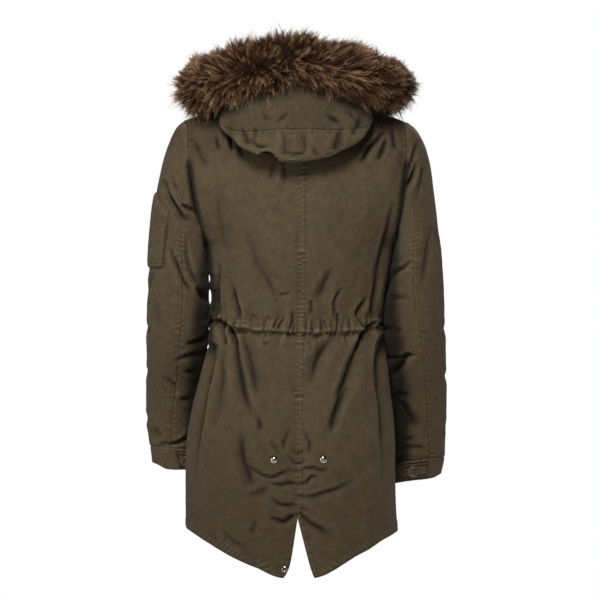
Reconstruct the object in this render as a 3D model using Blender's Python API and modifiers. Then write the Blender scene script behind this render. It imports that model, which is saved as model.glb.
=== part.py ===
"""Fur trimmed parka: a fishtail parka in cotton twill, filled out as worn, with its hood down.

The wearer faces -Y with the left arm at +X, +Z is up, and the origin is the middle of the neck
at the height of the shoulders, where the garment is held.  All sizes are in metres.
"""
from math import cos, pi, radians, sin
from typing import NamedTuple

import bmesh
import bpy
import numpy as np
from mathutils import Vector
from mathutils.bvhtree import BVHTree

WALL = 0.0016            # thickness of one layer of cloth with its seam allowance
GAP = 0.0003             # space left at a seam and between two layers
SEAM_STEP = 0.03         # share of a panel taken by the narrow strip beside a seam

NECK_HALF_WIDTH = 0.082
NECK_BACK = 0.080
NECK_FRONT = 0.105
NECK_DROP_BACK = 0.020
NECK_DROP_FRONT = 0.060
SHOULDER_SEAM_ANGLE = 68.0       # degrees round the neck from the centre back
SHOULDER_SEAM_SHARE = 0.36       # share of the back's top edge that is neckline
FRONT_NECK_SHARE = 0.42          # the same for the front

SHOULDER_SEAM = ((0.120, 0.062, -0.046), (0.207, 0.038, -0.0500))    # its middle and its outer end
FRONT_RIDGE = ((0.0, -0.110, -0.075), (0.075, -0.110, -0.050),
               (0.110, 0.032, 0.010), (0.2140, 0.018, -0.0455))
COLLARBONE = ((0.0, -0.118, -0.100), (0.085, -0.135, -0.090),
              (0.120, -0.020, -0.012), (0.2145, -0.008, -0.0470))

UNDERARM_ROW = 6                 # row of BODY_ROWS at which the armhole closes
WAIST_Z = -0.4275
CASING_HEIGHT = 0.023
CASING_GATHERS = 38
CASING_COLUMNS = 29              # grid columns in each quarter of the casing
CASING_FRONT_SHARE = 0.19        # the casing stops beside the fly
CASING_RIDGE = 0.0022

FRONT_EDGE = 0.010               # the fronts stop this far from the centre, below the fly
BACK_GRID = (12, 29)             # grid columns and rows of each back
FRONT_GRID = (9, 20)
TOP_PLACES = (0.0, 0.12, 0.5, 0.9, 1.3)      # places of a panel's rows next to the neck and shoulder
THIN_WALL = 0.0012               # the casing is a single layer
CUFF_WALL = 0.0024               # the cuff is folded double

CUFF_RISE = 0.0005               # how far the cuff stands out from the sleeve above it
CUFF_START = 0.03                # share of the cuff's height left open for its seam
CUFF_MIDDLE = (0.230, -0.090, -0.690)
CUFF_TAB_LENGTH = 0.056
CUFF_TAB_WIDTH = 0.033
CUFF_TAB_REACH = 0.41            # half the strap's width, as a share of the cuff's height
CUFF_TAB_SHARES = {"left": (0.245, 0.045), "right": (0.305, 0.105)}     # sewn end, free end
CUFF_BUTTON_COLUMNS = {"left": 3, "right": 5}      # tenths of the way along the strap
BUTTON_PROFILE = ((0.0, 0.0028), (0.0075, 0.0026), (0.0092, 0.0034), (0.0110, 0.0026),
                  (0.0112, 0.0012), (0.0098, 0.0), (0.0, 0.0))
SNAP_PROFILE = ((0.0, 0.0036), (0.0030, 0.0034), (0.0056, 0.0026), (0.0075, 0.0012),
                (0.0078, 0.0004), (0.0070, 0.0), (0.0, 0.0))
SOCKET_PROFILE = ((0.0026, 0.0), (0.0026, 0.0016), (0.0036, 0.0022), (0.0052, 0.0018),
                  (0.0064, 0.0006), (0.0060, 0.0), (0.0026, 0.0))
SNAP_SPOTS = {"snap_back_left": (0.0437, -0.684), "snap_back_right": (-0.0494, -0.682)}
SOCKET_SPOT = (0.0239, -0.887)

POCKET_SHARES = (0.33, 0.60)     # shares of the way round the sleeve, from the underarm
POCKET_PLACES = (0.58, 1.31)     # places down the sleeve
WELT_SHARES = (0.337, 0.362)
WELT_PLACES = (0.70, 1.28)

FUR_SIDES = 12
FUR_STEPS = 66
FUR_LOCKS = 31                   # clumps along the trim
FUR_LOCK_RELIEF = 0.0055
FUR_LOCK_SKEW = (2.4, 1.7, 9.0)  # how the clumps shift round the roll and along it


class BodyRow(NamedTuple):
    """One level of the body: heights, side edges, and depths to the back and front."""
    z_mid: float         # height at the centre
    z_side: float        # height at the side edge
    left: float          # side edge on the wearer's left
    right: float         # side edge on the wearer's right, as a positive number
    seam: float          # x of the centre seam
    depth: float         # y at the centre
    edge_y: float        # y at the side edge, above 0 only round the armhole


BACK_ROWS = (
    BodyRow(-0.085, -0.092, 0.2075, 0.2085, -0.008, 0.100, 0.060),
    BodyRow(-0.135, -0.138, 0.2040, 0.2060, -0.009, 0.111, 0.076),
    BodyRow(-0.185, -0.187, 0.1965, 0.2000, -0.009, 0.117, 0.075),
    BodyRow(-0.230, -0.231, 0.1830, 0.1920, -0.009, 0.119, 0.056),
    BodyRow(-0.262, -0.263, 0.1730, 0.1860, -0.009, 0.119, 0.030),
    BodyRow(-0.287, -0.287, 0.1680, 0.1815, -0.009, 0.118, 0.0),
    BodyRow(-0.3325, -0.3325, 0.1625, 0.1740, -0.009, 0.113, 0.0),
    BodyRow(-0.3740, -0.3740, 0.1590, 0.1650, -0.009, 0.106, 0.0),
    BodyRow(-0.4130, -0.4130, 0.1570, 0.1580, -0.009, 0.101, 0.0),
    BodyRow(-0.4420, -0.4420, 0.1570, 0.1570, -0.007, 0.101, 0.0),
    BodyRow(-0.4800, -0.4800, 0.1670, 0.1635, -0.005, 0.108, 0.0),
    BodyRow(-0.5300, -0.5300, 0.1865, 0.1730, -0.004, 0.120, 0.0),
    BodyRow(-0.5900, -0.5900, 0.2010, 0.1810, -0.003, 0.131, 0.0),
    BodyRow(-0.6550, -0.6500, 0.2095, 0.1845, -0.003, 0.138, 0.0),
    BodyRow(-0.7250, -0.7050, 0.2110, 0.1855, -0.0025, 0.142, 0.0),
    BodyRow(-0.7930, -0.7550, 0.2110, 0.1875, -0.0013, 0.144, 0.0),
    BodyRow(-0.8500, -0.7850, 0.2105, 0.1900, -0.0013, 0.143, 0.0),
    BodyRow(-0.9050, -0.8110, 0.2098, 0.1919, -0.0013, 0.141, 0.0),
)
FRONT_ROWS = (
    BodyRow(-0.135, -0.092, 0.2075, 0.2085, 0.0, 0.126, 0.045),
    BodyRow(-0.165, -0.138, 0.2030, 0.2050, 0.0, 0.132, 0.066),
    BodyRow(-0.200, -0.187, 0.1950, 0.1985, 0.0, 0.137, 0.068),
    BodyRow(-0.236, -0.231, 0.1830, 0.1920, 0.0, 0.140, 0.052),
    BodyRow(-0.264, -0.263, 0.1730, 0.1860, 0.0, 0.140, 0.028),
    BodyRow(-0.287, -0.287, 0.1680, 0.1815, 0.0, 0.139, 0.0),
    BodyRow(-0.3325, -0.3325, 0.1625, 0.1740, 0.0, 0.136, 0.0),
    BodyRow(-0.3740, -0.3740, 0.1590, 0.1650, 0.0, 0.130, 0.0),
    BodyRow(-0.4130, -0.4130, 0.1570, 0.1580, 0.0, 0.124, 0.0),
    BodyRow(-0.4420, -0.4420, 0.1570, 0.1570, 0.0, 0.123, 0.0),
    BodyRow(-0.4800, -0.4800, 0.1670, 0.1635, 0.0, 0.128, 0.0),
    BodyRow(-0.5300, -0.5300, 0.1865, 0.1730, 0.0, 0.135, 0.0),
    BodyRow(-0.5900, -0.5900, 0.2010, 0.1810, 0.0, 0.141, 0.0),
    BodyRow(-0.6450, -0.6500, 0.2095, 0.1845, 0.0, 0.145, 0.0),
    BodyRow(-0.6900, -0.7050, 0.2110, 0.1855, 0.0, 0.148, 0.0),
    BodyRow(-0.7300, -0.7550, 0.2110, 0.1875, 0.0, 0.149, 0.0),
    BodyRow(-0.7550, -0.7850, 0.2105, 0.1900, 0.0, 0.149, 0.0),
    BodyRow(-0.7750, -0.8110, 0.2098, 0.1919, 0.0, 0.149, 0.0),
)
VENT_TOP = -0.793
VENT_SPREAD_LEFT = 0.0265        # how far the vent's left edge stands off the centre at the hem
VENT_SPREAD_RIGHT = 0.0315


class SleeveRing(NamedTuple):
    """One ring of a sleeve, at x, y on its own side of the body."""
    z: float
    x: float
    y: float
    half_x: float
    half_y: float
    tilt: float          # how much the outer side rises above the inner side, per metre


SLEEVE_RINGS = {
    "left": (
        SleeveRing(-0.302, 0.2245, 0.000, 0.0565, 0.066, 0.0),
        SleeveRing(-0.370, 0.2255, -0.006, 0.0585, 0.064, 0.0),
        SleeveRing(-0.440, 0.2280, -0.018, 0.0575, 0.061, 0.0),
        SleeveRing(-0.500, 0.2300, -0.044, 0.0565, 0.058, 0.0),
        SleeveRing(-0.560, 0.2310, -0.080, 0.0550, 0.054, 0.03),
        SleeveRing(-0.620, 0.2310, -0.102, 0.0530, 0.051, 0.08),
        SleeveRing(-0.663, 0.2290, -0.114, 0.0505, 0.048, 0.12),
        SleeveRing(-0.698, 0.2275, -0.122, 0.0475, 0.045, 0.18),
    ),
    "right": (
        SleeveRing(-0.305, 0.2300, 0.000, 0.0490, 0.066, 0.0),
        SleeveRing(-0.370, 0.2255, -0.006, 0.0560, 0.064, 0.0),
        SleeveRing(-0.440, 0.2265, -0.018, 0.0565, 0.061, 0.0),
        SleeveRing(-0.505, 0.2290, -0.042, 0.0560, 0.058, 0.0),
        SleeveRing(-0.570, 0.2305, -0.070, 0.0545, 0.054, 0.03),
        SleeveRing(-0.635, 0.2315, -0.090, 0.0515, 0.051, 0.08),
        SleeveRing(-0.684, 0.2330, -0.102, 0.0490, 0.048, 0.12),
        SleeveRing(-0.720, 0.2310, -0.108, 0.0465, 0.045, 0.20),
    ),
}
CAP_OUT = 0.14                   # how far the sleeve head springs out at the shoulder
CAP_DROP = 0.08
CAP_LAND_OUT = 0.03
CAP_LAND_DROP = 0.25
CAP_LENGTH = 0.26                # length of the sleeve head along the top of the arm
BACK_SEAM = {                    # shares of the way round, from the underarm, at the armhole and each ring
    "left": (0.270, 0.228, 0.223, 0.229, 0.236, 0.251, 0.279, 0.282, 0.285),
    "right": (0.270, 0.216, 0.233, 0.272, 0.284, 0.294, 0.307, 0.320, 0.320),
}
FRONT_SEAM = 0.85


class Fold(NamedTuple):
    """A soft trough across a panel, from one point to another in x and z."""
    x0: float
    z0: float
    x1: float
    z1: float
    width: float
    depth: float


BACK_FOLDS = (
    Fold(0.131, -0.437, 0.110, -0.530, 0.016, 0.010),
    Fold(0.110, -0.530, 0.086, -0.600, 0.014, 0.006),
    Fold(-0.131, -0.443, -0.095, -0.530, 0.016, 0.010),
    Fold(-0.095, -0.530, -0.040, -0.650, 0.017, 0.008),
    Fold(-0.150, -0.490, -0.158, -0.700, 0.014, 0.006),
    Fold(0.163, -0.510, 0.185, -0.580, 0.014, 0.006),
    Fold(-0.066, -0.460, -0.030, -0.550, 0.018, 0.003),
    Fold(-0.152, -0.078, -0.120, -0.125, 0.010, 0.005),
    Fold(-0.064, -0.315, -0.036, -0.380, 0.014, 0.004),
    Fold(0.118, -0.380, 0.108, -0.425, 0.012, 0.004),
    Fold(0.093, -0.690, 0.010, -0.705, 0.008, 0.003),
    Fold(-0.060, -0.700, -0.010, -0.706, 0.008, 0.003),
)
SLEEVE_FOLDS = {
    "left": (
        Fold(0.250, -0.173, 0.200, -0.232, 0.012, 0.008),
        Fold(0.240, -0.275, 0.215, -0.350, 0.012, 0.005),
    ),
    "right": (
        Fold(0.176, -0.333, 0.216, -0.308, 0.011, 0.006),
        Fold(0.180, -0.482, 0.236, -0.484, 0.012, 0.007),
        Fold(0.181, -0.518, 0.205, -0.488, 0.011, 0.005),
    ),
}


class TrimPoint(NamedTuple):
    """A station along the hood's mouth: middle and radius of the fur, and where the cloth meets it."""
    x: float
    y: float
    z: float
    radius: float
    under: float         # degrees from straight below the fur towards the neck
    sag_x: float         # lowest line of the hood's bag
    sag_y: float
    sag_z: float
    belly: float         # how far the bag stands out


HOOD_STATIONS = (
    TrimPoint(0.078, -0.150, -0.050, 0.044, 70.0, 0.054, -0.107, -0.049, 0.001),
    TrimPoint(0.135, -0.110, -0.004, 0.055, 66.0, 0.084, -0.064, -0.014, 0.001),
    TrimPoint(0.178, -0.030, 0.033, 0.060, 55.0, 0.106, -0.030, 0.004, 0.002),
    TrimPoint(0.168, 0.070, 0.036, 0.062, 28.0, 0.136, 0.076, -0.050, 0.012),
    TrimPoint(0.094, 0.128, 0.058, 0.060, 8.0, 0.094, 0.138, -0.102, 0.020),
    TrimPoint(0.000, 0.150, 0.075, 0.058, 0.0, 0.000, 0.152, -0.122, 0.020),
    TrimPoint(-0.094, 0.128, 0.055, 0.060, 8.0, -0.094, 0.138, -0.096, 0.020),
    TrimPoint(-0.166, 0.070, 0.034, 0.060, 28.0, -0.135, 0.074, -0.048, 0.014),
    TrimPoint(-0.175, -0.030, 0.030, 0.059, 55.0, -0.106, -0.030, 0.004, 0.002),
    TrimPoint(-0.135, -0.110, -0.005, 0.055, 66.0, -0.084, -0.064, -0.014, 0.001),
    TrimPoint(-0.078, -0.150, -0.050, 0.044, 70.0, -0.054, -0.107, -0.049, 0.001),
)
HOOD_NECK_ANGLE = 150.0          # how far round the neck the hood is sewn, on each side
HOOD_SEAMS = (0.0, 0.434, 0.488, 0.562, 1.0)     # shares of the mouth where the panels meet
HOOD_COLUMNS = (13, 4, 5, 13)
HOOD_NECK_EASE = 1.018           # the hood's neck edge lies just outside the body's
HOOD_NECK_RISE = 0.0009          # and just above it
NECK_SEAM = (0.0, 0.0)           # shares of the hood's depth, at the back and at the front ends
MOUTH = (1.0, 1.0)
FUR_SEAT = 0.0009                # space between the fur's round and the edge of its strip
BAND_START = (0.84, 0.40)        # share of the hood's depth where its mouth band begins: back, front
TAPE_START = (0.935, 0.70)       # the same for the strip that carries the fur


# --------------------------------------------------------------------------- curves and grids
def blend_rows(rows: np.ndarray, place: np.ndarray) -> np.ndarray:
    """Smooth curve through equally spaced rows, read at places from 0 to the last row."""
    last = len(rows) - 1
    low = np.clip(np.floor(place).astype(int), 0, last - 1)
    t = (place - low).reshape(place.shape + (1,) * (rows.ndim - 1))
    before = rows[np.maximum(low - 1, 0)]
    start, end = rows[low], rows[low + 1]
    after = rows[np.minimum(low + 2, last)]
    tangent_in, tangent_out = (end - before) / 2, (after - start) / 2
    return ((2 * t**3 - 3 * t**2 + 1) * start + (t**3 - 2 * t**2 + t) * tangent_in
            + (3 * t**2 - 2 * t**3) * end + (t**3 - t**2) * tangent_out)


def bezier(points, t: np.ndarray) -> np.ndarray:
    """Points of a quadratic or cubic Bezier curve at each t."""
    level = [np.asarray(point, float) * np.ones(t.shape + (1,)) for point in points]
    step = t[..., None]
    while len(level) > 1:
        level = [a + (b - a) * step for a, b in zip(level, level[1:])]
    return level[0]


def normals(grid: np.ndarray) -> np.ndarray:
    """Unit normals of a grid of points."""
    across = np.gradient(grid, axis=0)
    down = np.gradient(grid, axis=1)
    normal = np.cross(across, down)
    return normal / np.maximum(np.linalg.norm(normal, axis=2, keepdims=True), 1e-9)


def outward(grid: np.ndarray, middle) -> np.ndarray:
    """Unit normals that point away from a middle point or line of points."""
    normal = normals(grid)
    away = ((grid - np.asarray(middle)) * normal).sum()
    return normal if away > 0 else -normal


def trimmed(grid: np.ndarray, first=0.0, last=0.0, top=0.0, bottom=0.0) -> np.ndarray:
    """Draws the four edges of a grid back by the given lengths."""
    grid = grid.copy()
    for edge, inner, length in ((0, 1, first), (-1, -2, last)):
        step = grid[inner] - grid[edge]
        grid[edge] += step / np.linalg.norm(step, axis=1, keepdims=True) * length
    for edge, inner, length in ((0, 1, top), (-1, -2, bottom)):
        step = grid[:, inner] - grid[:, edge]
        grid[:, edge] += step / np.linalg.norm(step, axis=1, keepdims=True) * length
    return grid


def seamed(count: int, start: float = 0.0, end: float = 1.0) -> np.ndarray:
    """Even shares from start to end, with a narrow strip beside each seam."""
    inner = np.linspace(SEAM_STEP, 1 - SEAM_STEP, count - 1)
    return start + (end - start) * np.concatenate(([0.0], inner, [1.0]))


def fold_relief(x: np.ndarray, z: np.ndarray, folds) -> np.ndarray:
    """How deep the folds press the cloth in at each x and z."""
    relief = np.zeros_like(x)
    for fold in folds:
        run_x, run_z = fold.x1 - fold.x0, fold.z1 - fold.z0
        share = ((x - fold.x0) * run_x + (z - fold.z0) * run_z) / (run_x**2 + run_z**2)
        near = np.clip(share, 0, 1)
        away = np.hypot(x - fold.x0 - near * run_x, z - fold.z0 - near * run_z)
        relief += fold.depth * np.exp(-((away / fold.width) ** 2))
    return relief


# --------------------------------------------------------------------------- the body's form
def neck_ring(angle: np.ndarray) -> np.ndarray:
    """Neckline at angles in radians from the centre back, positive to the wearer's left."""
    behind = np.cos(angle) > 0
    depth = np.where(behind, NECK_BACK, NECK_FRONT)
    drop = np.where(behind, NECK_DROP_BACK, NECK_DROP_FRONT)
    return np.stack((NECK_HALF_WIDTH * np.sin(angle), depth * np.cos(angle),
                     -drop * np.cos(angle) ** 2), axis=-1)


def top_edge(u: np.ndarray, start_angle: float, share: float) -> np.ndarray:
    """Neckline to the shoulder seam's inner end, then the seam out to the armhole."""
    end = radians(SHOULDER_SEAM_ANGLE)
    start = radians(start_angle)
    angle = start + (end - start) * np.clip(u / share, 0, 1)
    corner = neck_ring(np.array(end))
    seam = bezier((corner, *SHOULDER_SEAM), np.clip((u - share) / (1 - share), 0, 1))
    return np.where((u < share)[..., None], neck_ring(angle), seam)


def level_points(row: BodyRow, u: np.ndarray, side: float, facing: float) -> np.ndarray:
    """Points across half a level, from the centre seam to the side edge."""
    edge = row.left if side > 0 else row.right
    reach = np.arccos(min(row.edge_y / row.depth, 1.0))
    turn = u * reach
    span = edge - side * row.seam
    x = side * row.seam + span * np.sin(turn) / sin(reach)
    y = row.depth * np.cos(turn)
    z = row.z_mid + (row.z_side - row.z_mid) * np.clip(x / edge, 0, 1) ** 1.15
    return np.stack((side * x, facing * y, z), axis=-1)


def body_net(u: np.ndarray, side: float, facing: float) -> np.ndarray:
    """The rows of half a back or front, each read at the shares u."""
    if facing > 0:
        top = [top_edge(u, 0.0, SHOULDER_SEAM_SHARE)]
        rows = BACK_ROWS
    else:
        top = [top_edge(u, 180.0, FRONT_NECK_SHARE), bezier(FRONT_RIDGE, u), bezier(COLLARBONE, u)]
        rows = FRONT_ROWS
    for line in top:
        line[..., 0] *= side
    return np.stack(top + [level_points(row, u, side, facing) for row in rows])


def body_rows(facing: float) -> int:
    """Number of the body net's last row."""
    return len(BACK_ROWS) if facing > 0 else len(FRONT_ROWS) + 2


def underarm_place(facing: float) -> float:
    """Row at which the armhole closes."""
    return UNDERARM_ROW if facing > 0 else UNDERARM_ROW + 2.0


def place_at(z: float, facing: float) -> float:
    """Row place whose side edge lies at the height z, below the underarm."""
    rows = BACK_ROWS if facing > 0 else FRONT_ROWS
    heights = [row.z_side for row in rows]
    offset = body_rows(facing) - len(rows) + 1
    return offset + float(np.interp(-z, [-height for height in heights], range(len(rows))))


def body_points(u: np.ndarray, place: np.ndarray, side: float, facing: float) -> np.ndarray:
    """Outer points of half a back or front, without the vent's spread."""
    net = body_net(u, side, facing)
    grid = np.swapaxes(blend_rows(net, place), 0, 1)
    below_arm = place >= underarm_place(facing)
    grid[:, below_arm, 1] = facing * np.maximum(facing * grid[:, below_arm, 1], 0)
    if facing > 0:
        relief = fold_relief(grid[..., 0], grid[..., 2], BACK_FOLDS)
        grid[..., 1] -= relief * np.clip(grid[..., 1] / 0.06, 0, 1)
        below = np.clip((VENT_TOP - grid[..., 2]) / (VENT_TOP - BACK_ROWS[-1].z_mid), 0, 1)
        spread = VENT_SPREAD_LEFT if side > 0 else VENT_SPREAD_RIGHT
        grid[..., 0] += side * spread * below * (1 - u[:, None]) ** 2
    else:
        share = (1 - u[:, None]) ** 3
        grid[..., 0] += side * FRONT_EDGE * share
    return grid


def armhole_edge(share: np.ndarray, side: float) -> np.ndarray:
    """Armhole from the underarm, up the back, over the shoulder and down the front."""
    edge = np.array([1.0])
    climb = body_points(edge, underarm_place(1) * (1 - np.linspace(0, 1, 40)), side, 1)[0]
    descent = body_points(edge, underarm_place(-1) * np.linspace(0, 1, 40), side, -1)[0]
    ring = np.concatenate((climb, descent[1:]))
    length = np.concatenate(([0], np.cumsum(np.linalg.norm(np.diff(ring, axis=0), axis=1))))
    place = (share % 1.0) * length[-1]
    return np.stack([np.interp(place, length, ring[:, axis]) for axis in range(3)], axis=-1)


# --------------------------------------------------------------------------- the sleeves' form
def ring_points(ring: SleeveRing, share: np.ndarray, side: float) -> np.ndarray:
    """Points round one ring from the underarm, up the back, round the outside to the front."""
    turn = 2 * pi * share
    across = -np.cos(turn) * ring.half_x
    return np.stack((side * (ring.x + across), ring.y + np.sin(turn) * ring.half_y,
                     ring.z + across * ring.tilt), axis=-1)


def cuff_place(side: float) -> float:
    """Place on the sleeve where the cuff is sewn on; the cuff ends one further."""
    return len(SLEEVE_RINGS["left" if side > 0 else "right"]) - 1.0


def sleeve_points(share: np.ndarray, place: np.ndarray, side: float) -> np.ndarray:
    """Outer points of a sleeve: place 0 to 1 is the head, then one for each ring."""
    name = "left" if side > 0 else "right"
    rings = SLEEVE_RINGS[name]
    start = armhole_edge(share, side)
    net = np.stack([ring_points(ring, share, side) for ring in rings])
    reach = np.linalg.norm(net[0] - start, axis=1)[:, None] / CAP_LENGTH
    spring = reach * np.array((side * CAP_OUT, 0.0, -CAP_DROP))
    spring[:, 1] = (net[0] - start)[:, 1] * 0.8
    land = reach * np.array((side * CAP_LAND_OUT, 0.0, -CAP_LAND_DROP))
    columns = []
    for level in place:
        if level <= 1:
            t = level
            columns.append((2 * t**3 - 3 * t**2 + 1) * start + (t**3 - 2 * t**2 + t) * spring
                           + (3 * t**2 - 2 * t**3) * net[0] + (t**3 - t**2) * land)
        else:
            columns.append(blend_rows(net, np.array([level - 1.0]))[0])
    grid = np.stack(columns, axis=1)
    middle = grid.mean(axis=0, keepdims=True)
    relief = fold_relief(side * grid[..., 0], grid[..., 2], SLEEVE_FOLDS[name])
    behind = np.clip((grid[..., 1] - middle[..., 1]) / 0.02, 0, 1)
    grid[..., 1] -= relief * behind
    return grid


# --------------------------------------------------------------------------- the hood's form
def trim_stations(share: np.ndarray) -> np.ndarray:
    """The mouth's stations, read smoothly at shares from the left front to the right front."""
    table = np.array(HOOD_STATIONS)
    return blend_rows(table, share * (len(HOOD_STATIONS) - 1))


def mouth_edge(share: np.ndarray) -> np.ndarray:
    """The hood's mouth, where its cloth meets the fur."""
    station = trim_stations(share)
    middle = station[:, 0:3]
    inward = -middle * np.array((1.0, 1.0, 0.0))
    inward[:, 1] += 0.01
    inward /= np.linalg.norm(inward, axis=1, keepdims=True)
    under = np.radians(station[:, 4:5])
    toward = inward * np.sin(under) - np.array((0.0, 0.0, 1.0)) * np.cos(under)
    return middle + toward * (station[:, 3:4] + FUR_SEAT)


def hood_depths(share: np.ndarray, start, end, steps: np.ndarray) -> np.ndarray:
    """Depths of a strip of the hood whose edges differ from the back to the front ends."""
    forward = np.abs(1 - 2 * share)[:, None] ** 2
    low = start[0] + (start[1] - start[0]) * forward
    high = end[0] + (end[1] - end[0]) * forward
    return low + (high - low) * steps


def hood_points(share: np.ndarray, depths: np.ndarray) -> np.ndarray:
    """Outer points of the hood's bag, from the neck seam down, round and up to the mouth."""
    station = trim_stations(share)
    limit = radians(HOOD_NECK_ANGLE)
    neck = neck_ring(limit * (1 - 2 * share))
    neck *= np.array((HOOD_NECK_EASE, HOOD_NECK_EASE, 1.0))
    neck[:, 2] += HOOD_NECK_RISE
    mouth = mouth_edge(share)
    sag = station[:, 5:8]
    belly = sag * np.array((1.0, 1.0, 0.0))
    belly = belly / np.linalg.norm(belly, axis=1, keepdims=True) * station[:, 8:9]
    centre = (8 * sag - neck - mouth) / 6
    frame = (neck, centre - belly, centre + belly, mouth)
    return np.stack([bezier(frame, step) for step in depths.T], axis=1)


def fur_points(share: np.ndarray, turns: int) -> np.ndarray:
    """Rings of the fur: a round roll whose skin rises and falls in clumps."""
    station = trim_stations(share)
    middle = station[:, 0:3]
    along = np.gradient(middle, axis=0)
    along /= np.linalg.norm(along, axis=1, keepdims=True)
    up = np.array((0.0, 0.0, 1.0)) - along * along[:, 2:3]
    up /= np.linalg.norm(up, axis=1, keepdims=True)
    side = np.cross(along, up)
    rings = []
    for number in range(turns):
        turn = 2 * pi * number / turns
        wave = (np.sin(2 * pi * FUR_LOCKS * share + FUR_LOCK_SKEW[0] * number)
                * np.cos(FUR_LOCK_SKEW[1] * number + FUR_LOCK_SKEW[2] * share))
        under = np.clip(-cos(turn) - 0.1, 0, 1)
        radius = station[:, 3] + FUR_LOCK_RELIEF * (wave - 1) * (1 - under)
        radius = radius * np.minimum(1, 0.35 + 9 * np.minimum(share, 1 - share))
        rings.append(middle + (up * cos(turn) + side * sin(turn)) * radius[:, None])
    return np.stack(rings, axis=1)


# --------------------------------------------------------------------------- building
def clear_scene() -> None:
    """Removes whatever the scene holds."""
    for item in list(bpy.data.objects):
        bpy.data.objects.remove(item)


def material(name: str, colour, roughness: float, metallic: float = 0.0) -> bpy.types.Material:
    """A Principled material."""
    made = bpy.data.materials.new(name)
    made.use_nodes = True
    shader = made.node_tree.nodes["Principled BSDF"]
    shader.inputs["Base Color"].default_value = (*colour, 1.0)
    shader.inputs["Roughness"].default_value = roughness
    shader.inputs["Metallic"].default_value = metallic
    return made


def add_object(name: str, work: bmesh.types.BMesh, finish) -> bpy.types.Object:
    """Puts a bmesh into the scene as a named object of the parka's collection."""
    mesh = bpy.data.meshes.new(name)
    work.to_mesh(mesh)
    work.free()
    mesh.materials.append(finish)
    mesh.shade_smooth()
    made = bpy.data.objects.new(name, mesh)
    parka.objects.link(made)
    return made


def sheet_mesh(grid: np.ndarray, middle) -> bmesh.types.BMesh:
    """An open sheet through a grid of points, its faces pointing away from the middle, if given."""
    columns, rows = grid.shape[:2]
    work = bmesh.new()
    bmesh.ops.create_grid(work, x_segments=columns - 1, y_segments=rows - 1, size=0.5)
    ordered = sorted(work.verts, key=lambda vert: (round(vert.co.x, 5), round(vert.co.y, 5)))
    for vert, point in zip(ordered, grid.reshape(-1, 3)):
        vert.co = point
    work.normal_update()
    if middle is not None:
        facing = sum(face.calc_area() * face.normal.dot(face.calc_center_median() - vector(middle))
                     for face in work.faces)
        if facing < 0:
            bmesh.ops.reverse_faces(work, faces=work.faces)
    return work


def vector(values):
    """A mathutils vector of three numbers."""
    return Vector([float(value) for value in values])


def cloth(name: str, grid: np.ndarray, finish, middle=(0.0, 0.0, -0.4), wall: float = WALL):
    """A cloth wall whose outer side is the grid."""
    made = add_object(name, sheet_mesh(grid, middle), finish)
    solid = made.modifiers.new("wall", "SOLIDIFY")
    solid.thickness = wall
    solid.offset = -1.0
    return made


def panel_places(facing: float) -> np.ndarray:
    """Places down a back or front at which its grid has a row, closer at the top and the hem."""
    last = body_rows(facing)
    count = BACK_GRID[1] if facing > 0 else FRONT_GRID[1]
    rest = np.linspace(1.8, last - 0.12, count - len(TOP_PLACES) - 1)
    return np.concatenate((TOP_PLACES, rest, [last]))


def build_body(finish) -> None:
    """The two backs and the two fronts."""
    for side, hand in ((1, "left"), (-1, "right")):
        for facing, word, columns in ((1, "back", BACK_GRID[0]), (-1, "front", FRONT_GRID[0])):
            grid = body_points(seamed(columns), panel_places(facing), side, facing)
            grid = trimmed(grid, first=GAP / 2, last=GAP / 2, top=3 * GAP)
            cloth(f"{word}_{hand}", grid, finish)


def build_sleeves(finish) -> None:
    """Upper and under sleeves."""
    for side, hand in ((1, "left"), (-1, "right")):
        last = cuff_place(side)
        place = np.concatenate(([0.0, 0.05], np.linspace(0.18, 1, 6),
                                np.linspace(1, last - 0.1, 12)[1:], [last]))
        back = np.interp(place, range(len(BACK_SEAM[hand])), BACK_SEAM[hand])
        front = np.full_like(back, FRONT_SEAM)
        for word, start, end, columns in (("upper", back, front, 11), ("under", front - 1, back, 8)):
            grid = np.concatenate([sleeve_points(seamed(columns, *ends), np.array([level]), side)
                                   for *ends, level in zip(start, end, place)], axis=1)
            middle = grid.reshape(-1, 3).mean(axis=0) * np.array((0, 1, 1))
            middle[0] = side * 0.228
            grid = trimmed(grid, first=GAP, last=GAP, top=GAP * 3, bottom=GAP / 2)
            cloth(f"sleeve_{hand}_{word}", grid, finish, middle)


def raised(grid: np.ndarray, height, middle) -> np.ndarray:
    """Points moved out from the cloth that they lie on."""
    return grid + outward(grid, middle) * height


def tube(name: str, grid: np.ndarray, finish, middle, wall: float):
    """A cloth wall round a ring, where the grid's last column repeats its first."""
    work = sheet_mesh(grid, middle)
    bmesh.ops.remove_doubles(work, verts=work.verts, dist=1e-5)
    made = add_object(name, work, finish)
    solid = made.modifiers.new("wall", "SOLIDIFY")
    solid.thickness = wall
    solid.offset = -1.0
    return made


def turned(name: str, profile, spot, normal, finish, steps: int = 16):
    """A turned piece: radius and height pairs, outer side first, set on a spot along its normal."""
    work = bmesh.new()
    verts = [work.verts.new((radius, 0.0, height)) for radius, height in profile]
    for start, end in zip(verts, verts[1:]):
        work.edges.new((start, end))
    bmesh.ops.remove_doubles(work, verts=verts, dist=0.00001)
    made = add_object(name, work, finish)
    made.location = vector(spot)
    made.rotation_euler = vector(normal).to_track_quat("Z", "Y").to_euler()
    screw = made.modifiers.new("turn", "SCREW")
    screw.steps = screw.render_steps = steps
    screw.use_merge_vertices = True
    screw.merge_threshold = 0.00001
    screw.use_normal_calculate = True
    return made


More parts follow.
